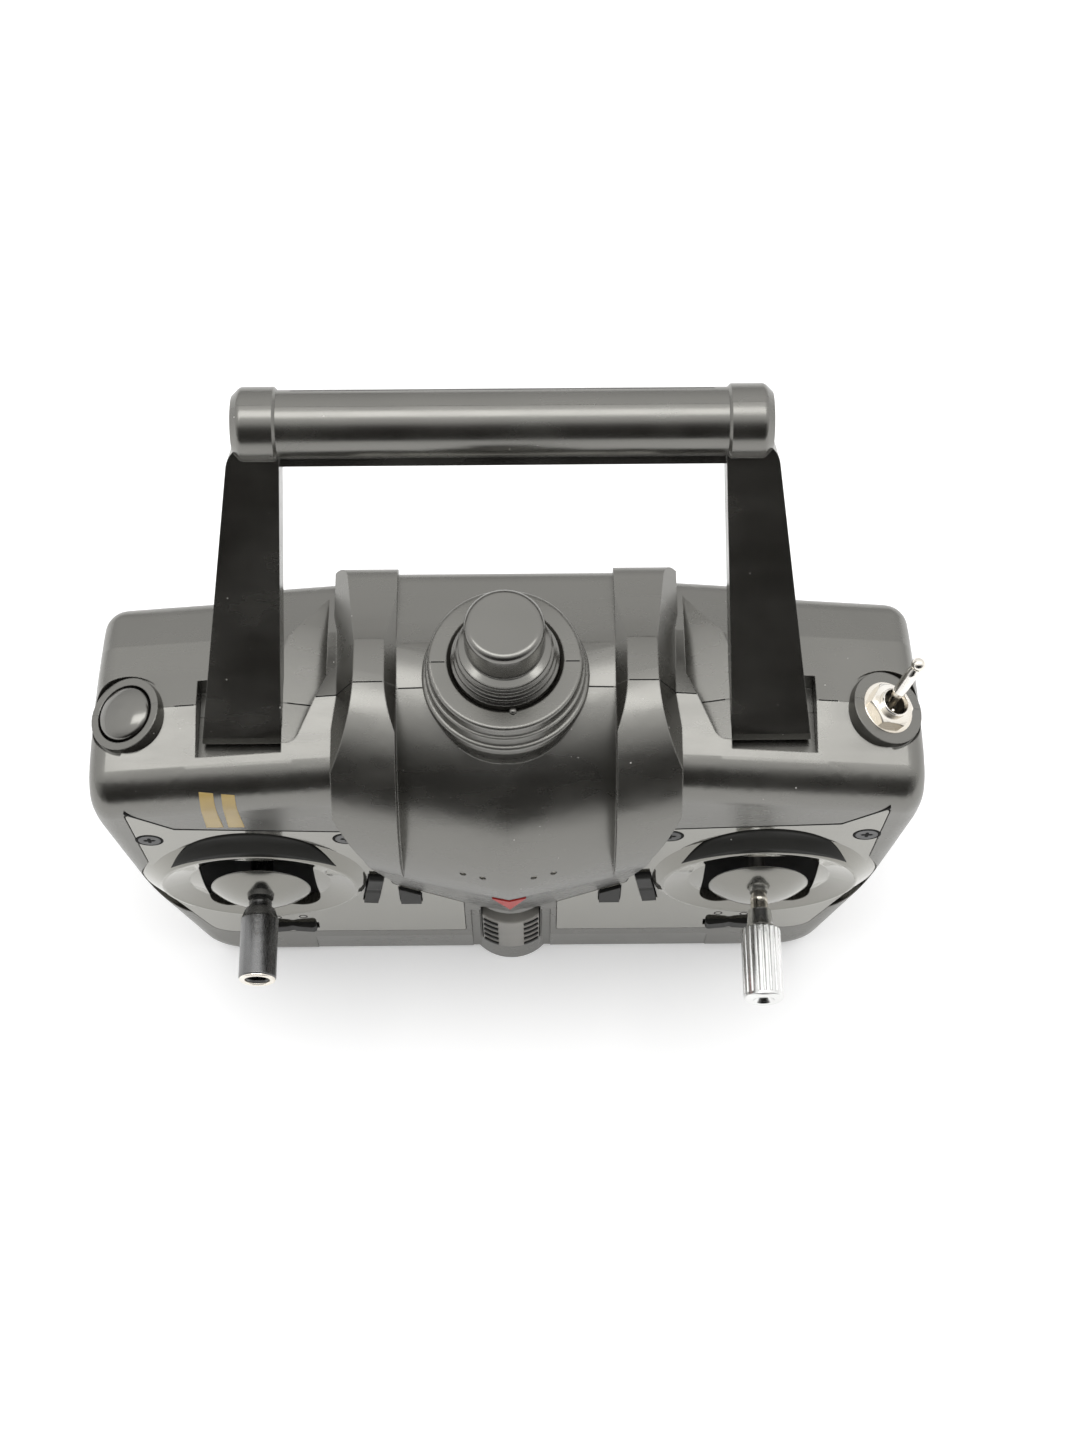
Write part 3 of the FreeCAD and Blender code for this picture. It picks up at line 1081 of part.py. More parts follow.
node("battery_cells", group("cell_set", *(cell(i) for i in range(1, 5))))
contact_plates = both_sides("contact_plates", group("contact_plate_pair", *(
    block(f"contact_{i}", ("0.5", "11", "11" if i in (1, 4) else "24"),
          ("bay_half - 0.6", "bay_y + 2", f"bay_foot + {z}")) for i, z in ((1, 3), (2, 17.5), (4, 46)))))
contact_arms = both_sides("contact_arms", group("contact_arm_set", *(
    turned(f"spring_{i}", [("0", "0"), ("3", "0"), ("1.4", "bay_half - cell_len / 2 - 0.6"),
                           ("0", "bay_half - cell_len / 2 - 0.6")],
           ("bay_half - 0.6", "bay_y + 0.4 + cell_r", f"bay_foot + 8.5 + cell_pitch * {i - 1}"), (-1, 0, 0))
    for i in range(1, 5))))
node("battery_contacts", fused("contact_set", contact_plates, contact_arms))

door_plate = block("door_plate", ("bay_half * 2 + 2.6", "door_thick", "bay_tall + 2.6"),
                   ("-bay_half - 1.3", "back_depth - door_thick", "bay_foot - 1.3"))
door_grip = extruded("door_grip", outline("door_grip_view", "YZ", [
    ("back_depth + 0.6", "bay_foot + 5"), ("back_depth - 1", "bay_foot + 6.6"),
    ("back_depth - 1", "bay_foot + 8.4"),
    ("back_depth + 0.6", "bay_foot + 10"),
]), (1, 0, 0), "9", "9")
node("battery_door", cut("door", door_plate, door_grip))

# ---------------------------------------------------------------- check and write

doc.recompute()
failed = [thing.Name for thing in doc.Objects if "Invalid" in thing.State or "Error" in thing.State]
assert not failed, f"failed: {failed}"
for thing in nodes:
    assert not thing.Shape.isNull() and thing.Shape.isValid(), thing.Label
assert len({thing.Label for thing in nodes}) == len(nodes) <= 60
os.makedirs("parts", exist_ok=True)
for thing in nodes:
    thing.Shape.exportStep(f"parts/{thing.Label}.step")
    print(thing.Label, len(thing.Shape.Solids), round(thing.Shape.Volume))
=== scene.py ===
# %% [markdown]
# # A two-stick radio transmitter
#
# This lesson dresses a hand-held radio transmitter for model aircraft. The rigid parts arrive finished,
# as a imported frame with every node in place, so most of the work is finish: satin mouldings, glossy face
# plates, bright metal and a little dust. Detail that the rigid parts leave out is modelled here and rides
# on their bodies.

import json
import math

import bmesh
import bpy
from mathutils import Matrix, Vector
from mathutils.bvhtree import BVHTree


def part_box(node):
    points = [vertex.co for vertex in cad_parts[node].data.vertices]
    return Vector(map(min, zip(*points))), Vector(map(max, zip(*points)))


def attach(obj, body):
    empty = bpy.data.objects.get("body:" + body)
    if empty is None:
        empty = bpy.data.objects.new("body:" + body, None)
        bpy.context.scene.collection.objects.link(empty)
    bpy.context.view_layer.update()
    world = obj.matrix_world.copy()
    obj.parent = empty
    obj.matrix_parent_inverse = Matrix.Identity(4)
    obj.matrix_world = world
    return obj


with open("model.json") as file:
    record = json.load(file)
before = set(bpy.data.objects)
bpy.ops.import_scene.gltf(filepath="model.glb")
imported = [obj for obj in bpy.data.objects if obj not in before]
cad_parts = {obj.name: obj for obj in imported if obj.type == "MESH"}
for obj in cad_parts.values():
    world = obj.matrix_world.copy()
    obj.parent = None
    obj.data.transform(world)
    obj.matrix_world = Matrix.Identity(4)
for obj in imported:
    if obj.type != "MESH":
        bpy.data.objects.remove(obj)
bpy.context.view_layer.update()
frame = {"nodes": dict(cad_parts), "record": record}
nodes = frame["nodes"]

# %% [markdown]
# ## Camera
#
# A transmitter is shown as its holder sees it: from the front, well above, so that both the sticks and
# the carry handle read. A long lens keeps the case from splaying. The camera is set by its place and two
# angles, because that is easier to check than a target to look at.

# %% Set the camera
MM = 0.001
CAMERA_PLACE = Vector((5.48, -227.16, 593.44)) * MM
CAMERA_DIP = 65.366  # degrees below the horizon
CAMERA_TURN = -0.51  # degrees about the upright axis, below zero to the right
scene = bpy.context.scene
camera = bpy.data.objects.new("camera", bpy.data.cameras.new("camera"))
scene.collection.objects.link(camera)
camera.data.lens = 60
camera.data.sensor_width = 36
camera.location = CAMERA_PLACE
camera.rotation_euler = (math.radians(90 - CAMERA_DIP), 0, math.radians(CAMERA_TURN))
scene.camera = camera
print("camera stands", round(camera.location.length, 3), "m from the case")

# %% [markdown]
# ## The studio
#
# Black plastic has almost no colour of its own, so what it mirrors is what we see. The room is a world
# whose brightness depends only on direction: a dark room in front of the object, a bright ceiling, a grey
# wall behind and pale walls at the sides. A direction becomes one angle, from the horizon in front over
# the top to the horizon behind, and a ramp turns that angle into brightness.

# %% Light the room
world = bpy.data.worlds.new("studio")
scene.world = world
world.use_nodes = True
ROOM = (  # degrees from the front horizon over the top, and the brightness there
    (0, 0.0), (36, 0.01), (48, 0.12),
    (58, 0.75), (66, 1.15), (84, 1.35),
    (112, 1.3), (140, 1.15), (180, 0.7),
)
SIDE_WALL = 1.1
SIDE_FADE = 4  # how fast a side wall fades towards the front and the back
SIDE_BLEND = 0.2


def link(tree, source, target):
    """Joins an output to an input."""
    tree.links.new(source, target)


def maths(tree, operation, *values):
    """A Math node with its inputs joined or set, and its output."""
    step = tree.nodes.new("ShaderNodeMath")
    step.operation = operation
    for socket, value in zip(step.inputs, values):
        if isinstance(value, (int, float)):
            socket.default_value = value
        else:
            link(tree, value, socket)
    return step.outputs[0]


def ramp(tree, value, stops):
    """A colour ramp over (position, grey or colour) stops, and its output."""
    step = tree.nodes.new("ShaderNodeValToRGB")
    elements = step.color_ramp.elements
    elements.remove(elements[1])
    elements[0].position = stops[0][0]
    for number, (position, colour) in enumerate(stops):
        element = elements[0] if number == 0 else elements.new(position)
        element.color = (colour, colour, colour, 1) if isinstance(colour, (int, float)) else (*colour, 1)
    link(tree, value, step.inputs["Fac"])
    return step.outputs["Color"]


def light_room(tree):
    """Makes the world's brightness out of ROOM and the side walls, and plain white for the camera."""
    direction = tree.nodes.new("ShaderNodeTexCoord")
    parts = tree.nodes.new("ShaderNodeSeparateXYZ")
    link(tree, direction.outputs["Generated"], parts.inputs[0])
    forward = maths(tree, "MULTIPLY", parts.outputs["Y"], -1)
    angle = maths(tree, "ARCTAN2", parts.outputs["Z"], forward)
    brightest = max(level for _, level in ROOM)
    stops = [(degrees / 180, level / brightest) for degrees, level in ROOM]
    room = ramp(tree, maths(tree, "DIVIDE", angle, math.pi), stops)
    overhead = maths(tree, "MULTIPLY", room, brightest)
    to_side = maths(tree, "POWER", maths(tree, "ABSOLUTE", parts.outputs["X"]), SIDE_FADE)
    sideways = maths(tree, "SMOOTH_MIN", to_side, 1, SIDE_BLEND)
    walls = maths(tree, "MULTIPLY", maths(tree, "SUBTRACT", SIDE_WALL, overhead), sideways)
    rays = tree.nodes.new("ShaderNodeLightPath")
    seen = maths(tree, "ADD", overhead, walls)
    to_white = maths(tree, "MULTIPLY", maths(tree, "SUBTRACT", 1, seen), rays.outputs["Is Camera Ray"])
    sky = tree.nodes["Background"]
    sky.inputs["Color"].default_value = (1, 1, 1, 1)
    link(tree, maths(tree, "ADD", seen, to_white), sky.inputs["Strength"])


light_room(world.node_tree)


def softbox(name, place, aim, size, level):
    """A rectangular lamp whose face has the given brightness."""
    lamp = bpy.data.objects.new(name, bpy.data.lights.new(name, "AREA"))
    lamp.data.shape = "RECTANGLE"
    lamp.data.size, lamp.data.size_y = size
    lamp.data.energy = level * math.pi * size[0] * size[1]
    lamp.location = place
    lamp.rotation_euler = (Vector(aim) - Vector(place)).to_track_quat("-Z", "Y").to_euler()
    scene.collection.objects.link(lamp)


softbox("ceiling_box", place=(0, 0.05, 1.25), aim=(0, 0, 0.1), size=(1.5, 0.4), level=2.6)
print("room brightness from", min(level for _, level in ROOM), "to", max(level for _, level in ROOM))

# %% [markdown]
# ## The table
#
# The object stands on a white table. For the camera, and in anything shiny, a little glow lifts the table
# to plain white, while its diffuse part still takes the object's shadow.

# %% Lay the table
FLOOR_HALF = 4.0
TABLE_GLOW = 0.3
corners = [(x * FLOOR_HALF, y * FLOOR_HALF, 0) for x, y in ((-1, -1), (1, -1), (1, 1), (-1, 1))]
floor = bpy.data.objects.new("floor", bpy.data.meshes.new("floor"))
floor.data.from_pydata(corners, [], [(0, 1, 2, 3)])
scene.collection.objects.link(floor)


def blank(name):
    """A new material, its tree and its Principled shader."""
    material = bpy.data.materials.new(name)
    material.use_nodes = True
    return material, material.node_tree, material.node_tree.nodes["Principled BSDF"]


def table_top():
    """White with no gloss, and a glow that only the camera and shiny things see."""
    material, tree, shader = blank("table_top")
    shader.inputs["Base Color"].default_value = (0.86, 0.86, 0.86, 1)
    shader.inputs["Roughness"].default_value = 0.9
    shader.inputs["Specular IOR Level"].default_value = 0.0
    rays = tree.nodes.new("ShaderNodeLightPath")
    shiny = maths(tree, "ADD", rays.outputs["Is Glossy Ray"], rays.outputs["Is Transmission Ray"])
    glow = maths(tree, "MULTIPLY", maths(tree, "ADD", rays.outputs["Is Camera Ray"], shiny), TABLE_GLOW)
    shader.inputs["Emission Color"].default_value = (1, 1, 1, 1)
    link(tree, glow, shader.inputs["Emission Strength"])
    return material


floor.data.materials.append(table_top())
print("table of", 2 * FLOOR_HALF, "m")

# %% [markdown]
# ## Shared effects
#
# Four effects come back on nearly every piece: the fine grain of a mould, dust that has settled on what
# faces up, wipe marks, and edges that catch light because no real edge is sharp. Each is a node group,
# built once, with named sockets, so that a material only chooses its amounts.


# %% A helper that builds a node group
def effect(name, inputs, outputs):
    """A node group with float inputs and typed outputs, and its two end nodes."""
    tree = bpy.data.node_groups.new(name, "ShaderNodeTree")
    for title, value in inputs.items():
        socket = tree.interface.new_socket(title, in_out="INPUT", socket_type="NodeSocketFloat")
        socket.default_value = value
    for title, kind in outputs.items():
        tree.interface.new_socket(title, in_out="OUTPUT", socket_type=f"NodeSocket{kind}")
    return tree, tree.nodes.new("NodeGroupInput"), tree.nodes.new("NodeGroupOutput")


def noise(tree, scale, detail=3.0, stretch=None):
    """A noise texture in object space, in metres, stretched if asked; its value output."""
    place = tree.nodes.new("ShaderNodeTexCoord").outputs["Object"]
    if stretch:
        mapping = tree.nodes.new("ShaderNodeMapping")
        mapping.inputs["Scale"].default_value = stretch
        link(tree, place, mapping.inputs["Vector"])
        place = mapping.outputs["Vector"]
    step = tree.nodes.new("ShaderNodeTexNoise")
    step.inputs["Detail"].default_value = detail
    link(tree, place, step.inputs["Vector"])
    if isinstance(scale, (int, float)):
        step.inputs["Scale"].default_value = scale
    else:
        link(tree, scale, step.inputs["Scale"])
    return step.outputs["Fac"]


def span(tree, value, low, high, to_low=0.0, to_high=1.0):
    """A clamped change of range."""
    step = tree.nodes.new("ShaderNodeMapRange")
    link(tree, value, step.inputs["Value"])
    for title, number in zip(("From Min", "From Max", "To Min", "To Max"), (low, high, to_low, to_high)):
        step.inputs[title].default_value = number
    return step.outputs["Result"]


# %% [markdown]
# ### Moulded grain
#
# A steel mould is spark-eroded to a fine matt, and the plastic copies it: a shallow, even roughness a few
# tenths of a millimetre across, with slow patches where the plastic cooled at another speed. Two sizes of
# noise give both. The height goes to each material's Bump node, and the patches vary its gloss.

# %% Build the moulded grain
FINE_GRAIN = 2600.0  # noise cells in a metre
SLOW_PATCHES = 55.0  # also in a metre


def build_grain():
    """A fine height for the bump, and slow patches for the gloss."""
    tree, ends, out = effect("moulded_grain", {"Scale": FINE_GRAIN}, {"Height": "Float", "Patch": "Float"})
    link(tree, noise(tree, ends.outputs["Scale"], 2.0), out.inputs["Height"])
    link(tree, span(tree, noise(tree, SLOW_PATCHES, 4.0), 0.35, 0.65), out.inputs["Patch"])
    return tree


GRAIN = build_grain()
print("built", GRAIN.name)

# %% [markdown]
# ### Settled dust
#
# Dust shows on black plastic as pale pinpricks, most on what faces up, in loose drifts. Each cell of a
# Voronoi texture holds at most one speck: the cell's random colour decides whether there is one and how
# big it is.

# %% Build the dust
DUST_CELLS = 700.0  # in a metre
DRIFTS = 90.0  # also in a metre
SPECK_LEAST = 0.035  # radius as a share of a cell
SPECK_SPREAD = 0.13


def build_dust():
    """A mask that is 1 on a speck of dust and 0 elsewhere."""
    tree, ends, out = effect("settled_dust", {"Scale": DUST_CELLS, "Amount": 0.1}, {"Mask": "Float"})
    cells = tree.nodes.new("ShaderNodeTexVoronoi")
    link(tree, tree.nodes.new("ShaderNodeTexCoord").outputs["Object"], cells.inputs["Vector"])
    link(tree, ends.outputs["Scale"], cells.inputs["Scale"])
    chance = tree.nodes.new("ShaderNodeSeparateColor")
    link(tree, cells.outputs["Color"], chance.inputs["Color"])
    drift = span(tree, noise(tree, DRIFTS, 2.0), 0.35, 0.7, 0.25, 1.6)
    share = maths(tree, "MULTIPLY", ends.outputs["Amount"], drift)
    present = maths(tree, "LESS_THAN", chance.outputs["Red"], share)
    size = maths(tree, "MULTIPLY", maths(tree, "POWER", chance.outputs["Green"], 2), SPECK_SPREAD)
    near = maths(tree, "LESS_THAN", cells.outputs["Distance"], maths(tree, "ADD", size, SPECK_LEAST))
    facing = tree.nodes.new("ShaderNodeSeparateXYZ")
    link(tree, tree.nodes.new("ShaderNodeNewGeometry").outputs["Normal"], facing.inputs[0])
    upward = span(tree, facing.outputs["Z"], -0.2, 0.6, 0.12, 1.0)
    lies = maths(tree, "LESS_THAN", chance.outputs["Blue"], upward)
    link(tree, maths(tree, "MULTIPLY", maths(tree, "MULTIPLY", present, near), lies), out.inputs["Mask"])
    return tree


DUST = build_dust()
print("built", DUST.name)

# %% [markdown]
# ### Softened edges, wear and painted edge highlights
#
# A moulded edge has a radius of a few tenths of a millimetre, too small to model everywhere, yet it is
# the line that draws the object. The Bevel node gives the normal such an edge would have, and how far
# that normal leaves the true one tells where an edge is. There the plastic is painted pale, partly as the
# wear where hands rub it and partly as a painted highlight along the edge.

# %% Build the edges
EDGE_RADIUS = 0.4 * MM
# Patches along the edges that are painted pale, as wear and as painted highlight
RUBBED_AND_HIGHLIGHT_PATCHES = 420.0  # in a metre


def build_edges():
    """The normal of a rounded edge, and a patchy mask of where the edges are."""
    outputs = {"Normal": "Vector", "Edge": "Float"}
    tree, ends, out = effect("softened_edges", {"Radius": EDGE_RADIUS}, outputs)
    rounding = tree.nodes.new("ShaderNodeBevel")
    rounding.samples = 4
    link(tree, ends.outputs["Radius"], rounding.inputs["Radius"])
    link(tree, rounding.outputs["Normal"], out.inputs["Normal"])
    agree = tree.nodes.new("ShaderNodeVectorMath")
    agree.operation = "DOT_PRODUCT"
    link(tree, rounding.outputs["Normal"], agree.inputs[0])
    link(tree, tree.nodes.new("ShaderNodeNewGeometry").outputs["Normal"], agree.inputs[1])
    edge = span(tree, agree.outputs["Value"], 0.99, 0.8)
    patchy = span(tree, noise(tree, RUBBED_AND_HIGHLIGHT_PATCHES, 4.0), 0.35, 0.62)
    link(tree, maths(tree, "MULTIPLY", edge, patchy), out.inputs["Edge"])
    return tree


EDGES = build_edges()
print("built", EDGES.name)

# %% [markdown]
# ### Wipe marks
#
# A cloth leaves long faint streaks that only change the gloss. Noise stretched along one direction is
# enough.

# %% Build the wipe marks
STREAKS = 160.0  # in a metre
STREAK_STRETCH = (0.25, 1.6, 1.2)  # long from side to side


def build_wipes():
    """Long faint streaks for the gloss."""
    tree, ends, out = effect("wipe_marks", {"Scale": STREAKS}, {"Streak": "Float"})
    streak = noise(tree, ends.outputs["Scale"], 5.0, STREAK_STRETCH)
    link(tree, span(tree, streak, 0.38, 0.66), out.inputs["Streak"])
    return tree


WIPES = build_wipes()
print("built", WIPES.name)

# %% [markdown]
# ## Plastics
#
# Every plastic here is the same recipe with other amounts: a near-black colour, a gloss that varies in
# patches and streaks, grain in the bump, soft edges and dust. The case is satin, the face plates are
# glossy under a clear skin, the handle is a little smoother than the case. Real plastic has an index of
# refraction near 1.5. The glossier pieces get more than that here, so that their tops mirror enough of
# the ceiling.

# %% The plastic recipe
MICRON = 0.001 * MM
WARM_SHINE = (1.0, 0.985, 0.92, 1)
WARM_COAT = (1.0, 0.99, 0.94, 1)
COAT_ROUGHNESS = 0.06
PATCH_GAIN, PATCH_LIFT = 1.35, 0.004  # how much lighter the slow patches are
PATCH_SHARE, STREAK_SHARE = 0.6, 0.4  # of the change in gloss
DUST_COLOUR = (0.75, 0.73, 0.70)
DUST_COVER, DUST_DULLS = 0.6, 0.3
# The pale edge colour: rubbed wear together with a painted edge highlight
WORN_AND_HIGHLIGHT_COLOUR = (0.30, 0.29, 0.27)


def placed(tree, group, **values):
    """A shared effect placed in a material, with its own values."""
    step = tree.nodes.new("ShaderNodeGroup")
    step.node_tree = group
    for title, value in values.items():
        step.inputs[title].default_value = value
    return step


def mixed(tree, amount, first, second):
    """Two colours mixed by a value; either may be a colour or an output."""
    step = tree.nodes.new("ShaderNodeMix")
    step.data_type = "RGBA"
    for socket, value in ((step.inputs[0], amount), (step.inputs[6], first), (step.inputs[7], second)):
        if isinstance(value, tuple):
            socket.default_value = (*value, 1)
        elif isinstance(value, (int, float)):
            socket.default_value = value
        else:
            link(tree, value, socket)
    return step.outputs[2]


def surface_normal(tree, shader, height, depth, edge_radius):
    """Softened edges under a bump, into the shader's normal. Returns the edge group."""
    edges = placed(tree, EDGES, Radius=edge_radius)
    bump = tree.nodes.new("ShaderNodeBump")
    bump.inputs["Distance"].default_value = depth
    link(tree, height, bump.inputs["Height"])
    link(tree, edges.outputs["Normal"], bump.inputs["Normal"])
    link(tree, bump.outputs["Normal"], shader.inputs["Normal"])
    return edges


def plastic(name, colour, gloss, specular=1.0, depth=20 * MICRON, edge=EDGE_RADIUS, dust=0.06, wear_and_highlight=0.25,
            coat=0.0, ior=1.5):
    """Moulded plastic. gloss is its lowest and highest roughness, depth is the grain's."""
    material, tree, shader = blank(name)
    shader.inputs["Specular IOR Level"].default_value = specular
    shader.inputs["IOR"].default_value = ior
    shader.inputs["Specular Tint"].default_value = WARM_SHINE
    shader.inputs["Coat Tint"].default_value = WARM_COAT
    shader.inputs["Coat Weight"].default_value = coat
    shader.inputs["Coat Roughness"].default_value = COAT_ROUGHNESS
    grained = placed(tree, GRAIN, Scale=FINE_GRAIN)
    edges = surface_normal(tree, shader, grained.outputs["Height"], depth, edge)
    specks = placed(tree, DUST, Amount=dust)
    streaks = placed(tree, WIPES)
    lighter = tuple(min(1.0, PATCH_GAIN * part + PATCH_LIFT) for part in colour)
    base = mixed(tree, grained.outputs["Patch"], colour, lighter)
    # Edges are painted pale: partly rubbed wear, partly a painted highlight
    base = mixed(tree, maths(tree, "MULTIPLY", edges.outputs["Edge"], wear_and_highlight), base, WORN_AND_HIGHLIGHT_COLOUR)
    dusty = mixed(tree, maths(tree, "MULTIPLY", specks.outputs["Mask"], DUST_COVER), base, DUST_COLOUR)
    link(tree, dusty, shader.inputs["Base Color"])
    patchy = maths(tree, "MULTIPLY", grained.outputs["Patch"], PATCH_SHARE)
    streaky = maths(tree, "MULTIPLY", streaks.outputs["Streak"], STREAK_SHARE)
    rough = span(tree, maths(tree, "ADD", patchy, streaky), 0.0, 1.0, *gloss)
    dulled = maths(tree, "ADD", rough, maths(tree, "MULTIPLY", specks.outputs["Mask"], DUST_DULLS))
    link(tree, dulled, shader.inputs["Roughness"])
    return material


# %% Mix the plastics
SHELL_BLACK = (0.015, 0.014, 0.012)
FITTING_BLACK = (0.014, 0.013, 0.012)
GLOSSY_IOR, PLATE_IOR = 1.85, 1.75
finishes = {
    "case_black": plastic("case_black", SHELL_BLACK, (0.22, 0.33), depth=7 * MICRON, ior=GLOSSY_IOR),
    "plate_black": plastic("plate_black", (0.040, 0.038, 0.033), (0.05, 0.14), depth=4 * MICRON, dust=0.04,
                           coat=1.0, ior=PLATE_IOR),
    "handle_black": plastic("handle_black", SHELL_BLACK, (0.20, 0.30), depth=5 * MICRON, dust=0.08,
                            edge=0.2 * MM, wear_and_highlight=0.1, ior=GLOSSY_IOR),
    "stub_black": plastic("stub_black", FITTING_BLACK, (0.13, 0.2), depth=4 * MICRON, dust=0.03,
                          ior=GLOSSY_IOR),
    "switch_black": plastic("switch_black", (0.03, 0.03, 0.03), (0.35, 0.5)),
    "button_black": plastic("button_black", FITTING_BLACK, (0.16, 0.24), depth=6 * MICRON, ior=GLOSSY_IOR),
    "trim_black": plastic("trim_black", (0.012, 0.012, 0.012), (0.45, 0.55), dust=0.02, specular=0.3),
    "key_black": plastic("key_black", (0.010, 0.010, 0.010), (0.45, 0.55), dust=0.02, specular=0.3),
    "dome_black": plastic("dome_black", (0.02, 0.02, 0.02), (0.12, 0.2), depth=6 * MICRON, dust=0.02,
                          coat=0.8, ior=GLOSSY_IOR),
    "moulding_grey": plastic("moulding_grey", (0.12, 0.12, 0.12), (0.4, 0.55), specular=0.5),
    "slider_grey": plastic("slider_grey", (0.26, 0.25, 0.23), (0.3, 0.45), specular=0.5, dust=0.03),
    "pot_blue": plastic("pot_blue", (0.05, 0.12, 0.35), (0.2, 0.3), specular=0.5),
}
print("mixed", len(finishes), "plastics")

# %% [markdown]
# ## Metals
#
# The toggle and the sticks are turned parts: nickel plate over brass, drawn tube, and bar turned with
# fine rings. Turning marks run round the piece, so a wave texture along the axis would do, but at this
# size a noise squeezed along one direction reads the same and never shows a regular beat. Plating yellows
# a little in patches.

# %% The metal recipe
TURNING_MARKS = 700.0  # in a metre, and then packed along the height
SQUEEZE = (1, 1, 14)
MARK_DEPTH = 6 * MICRON
METAL_EDGE = 0.2 * MM
PLATING_GRAIN = 900.0


def metal(name, colour, tarnish, gloss):
    """Turned and plated metal; tarnish is its colour in the patches."""
    material, tree, shader = blank(name)
    shader.inputs["Metallic"].default_value = 1.0
    marks = noise(tree, TURNING_MARKS, 4.0, SQUEEZE)
    surface_normal(tree, shader, marks, MARK_DEPTH, METAL_EDGE)
    patches = placed(tree, GRAIN, Scale=PLATING_GRAIN)
    link(tree, mixed(tree, patches.outputs["Patch"], colour, tarnish), shader.inputs["Base Color"])
    link(tree, span(tree, marks, 0.3, 0.7, *gloss), shader.inputs["Roughness"])
    return material


# %% Mix the metals
finishes.update({
    "screw_steel": metal("screw_steel", (0.10, 0.10, 0.10), (0.05, 0.05, 0.05), (0.25, 0.4)),
    "bright_metal": metal("bright_metal", (0.86, 0.84, 0.80), (0.72, 0.66, 0.56), (0.10, 0.22)),
    "shaft_dark": metal("shaft_dark", (0.12, 0.12, 0.12), (0.06, 0.06, 0.06), (0.15, 0.3)),
    "grip_dark": metal("grip_dark", (0.20, 0.20, 0.20), (0.12, 0.12, 0.12), (0.2, 0.34)),
    "grip_silver": metal("grip_silver", (0.88, 0.88, 0.87), (0.74, 0.74, 0.73), (0.14, 0.26)),
    "tin_can": metal("tin_can", (0.70, 0.70, 0.70), (0.55, 0.55, 0.53), (0.25, 0.4)),
    "contact_steel": metal("contact_steel", (0.80, 0.80, 0.78), (0.65, 0.62, 0.55), (0.12, 0.25)),
})
print("metals bring it to", len(finishes))

# %% [markdown]
# ## Lens, lamps, boards and cells
#
# The power lens is dull red plastic, a little cloudy. The lamps are resin that lets some light through.
# Boards carry tracks under a green skin, which a brick pattern suggests, and the cells wear a dark sleeve
# with one tan band.

# %% Mix the small finishes
BANDS = 18  # in a metre, so one falls on each cell


def red_lens():
    """Dull red plastic with soft clouds of a paler red."""
    material, tree, shader = blank("red_lens")
    shader.inputs["Roughness"].default_value = 0.45
    shader.inputs["Specular IOR Level"].default_value = 0.25
    cloud = noise(tree, 900.0, 3.0)
    reds = ramp(tree, cloud, [(0.35, (0.48, 0.022, 0.018)), (0.7, (0.66, 0.05, 0.04))])
    link(tree, reds, shader.inputs["Base Color"])
    surface_normal(tree, shader, cloud, 30 * MICRON, 0.3 * MM)
    return material


def lamp_clear():
    """Slightly yellowed resin that lets a third of the light through."""
    material, tree, shader = blank("lamp_clear")
    shader.inputs["Transmission Weight"].default_value = 0.35
    shader.inputs["Roughness"].default_value = 0.15
    cloud = noise(tree, 2500.0, 2.0)
    resin = ramp(tree, cloud, [(0.3, (0.80, 0.74, 0.60)), (0.7, (0.95, 0.93, 0.88))])
    link(tree, resin, shader.inputs["Base Color"])
    return material


def circuit_green():
    """Board lacquer over tracks."""
    material, tree, shader = blank("circuit_green")
    shader.inputs["Roughness"].default_value = 0.35
    tracks = tree.nodes.new("ShaderNodeTexBrick")
    tracks.inputs["Scale"].default_value = 260.0
    tracks.inputs["Color1"].default_value = (0.02, 0.16, 0.06, 1)
    tracks.inputs["Color2"].default_value = (0.025, 0.19, 0.075, 1)
    tracks.inputs["Mortar"].default_value = (0.05, 0.30, 0.12, 1)
    link(tree, tree.nodes.new("ShaderNodeTexCoord").outputs["Object"], tracks.inputs["Vector"])
    link(tree, tracks.outputs["Color"], shader.inputs["Base Color"])
    surface_normal(tree, shader, tracks.outputs["Fac"], 30 * MICRON, 0.2 * MM)
    return material


def cell_jacket():
    """A dark sleeve with a tan band across it."""
    material, tree, shader = blank("cell_jacket")
    shader.inputs["Roughness"].default_value = 0.25
    place = tree.nodes.new("ShaderNodeSeparateXYZ")
    link(tree, tree.nodes.new("ShaderNodeTexCoord").outputs["Object"], place.inputs[0])
    band = maths(tree, "FRACT", maths(tree, "MULTIPLY", place.outputs["X"], BANDS))
    sleeve = ramp(tree, band, [(0.28, (0.55, 0.42, 0.20)), (0.3, (0.05, 0.05, 0.055))])
    link(tree, sleeve, shader.inputs["Base Color"])
    surface_normal(tree, shader, noise(tree, 500.0), 20 * MICRON, 0.3 * MM)
    return material


for recipe in (red_lens, lamp_clear, circuit_green, cell_jacket):
    finishes[recipe.__name__] = recipe()
print("small finishes bring it to", len(finishes))

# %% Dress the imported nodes
subparts = frame["record"]["subparts"]
for subpart in subparts:
    mesh = nodes[subpart["node"]].data
    mesh.materials.clear()
    mesh.materials.append(finishes[subpart["material_slot"]])
print("dressed", len(subparts), "nodes in", len(finishes), "finishes")

# %% [markdown]
# ## Laying things on a surface
#
# Stripes, seams and ribs follow whatever they lie on. Instead of guessing heights, rays are shot at the
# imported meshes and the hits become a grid. The grid gets a top just above the surface and an underside
# just below it, so that each piece is a thin closed solid and not a loose sheet.

# %% Ray helpers
def skin(*names):
    """A search tree over the meshes of some nodes."""
    points, faces = [], []
    for name in names:
        mesh = nodes[name].data
        start = len(points)
        points += [vertex.co.copy() for vertex in mesh.vertices]
        faces += [[start + index for index in face.vertices] for face in mesh.polygons]
    return BVHTree.FromPolygons(points, faces)


def touch(tree, start, aim):
    """Where a ray meets a skin, with the normal turned towards the ray's start."""
    place, normal, _, _ = tree.ray_cast(Vector(start), Vector(aim).normalized())
    if place is None:
        return None
    return place, (-normal if normal.dot(Vector(aim)) > 0 else normal)


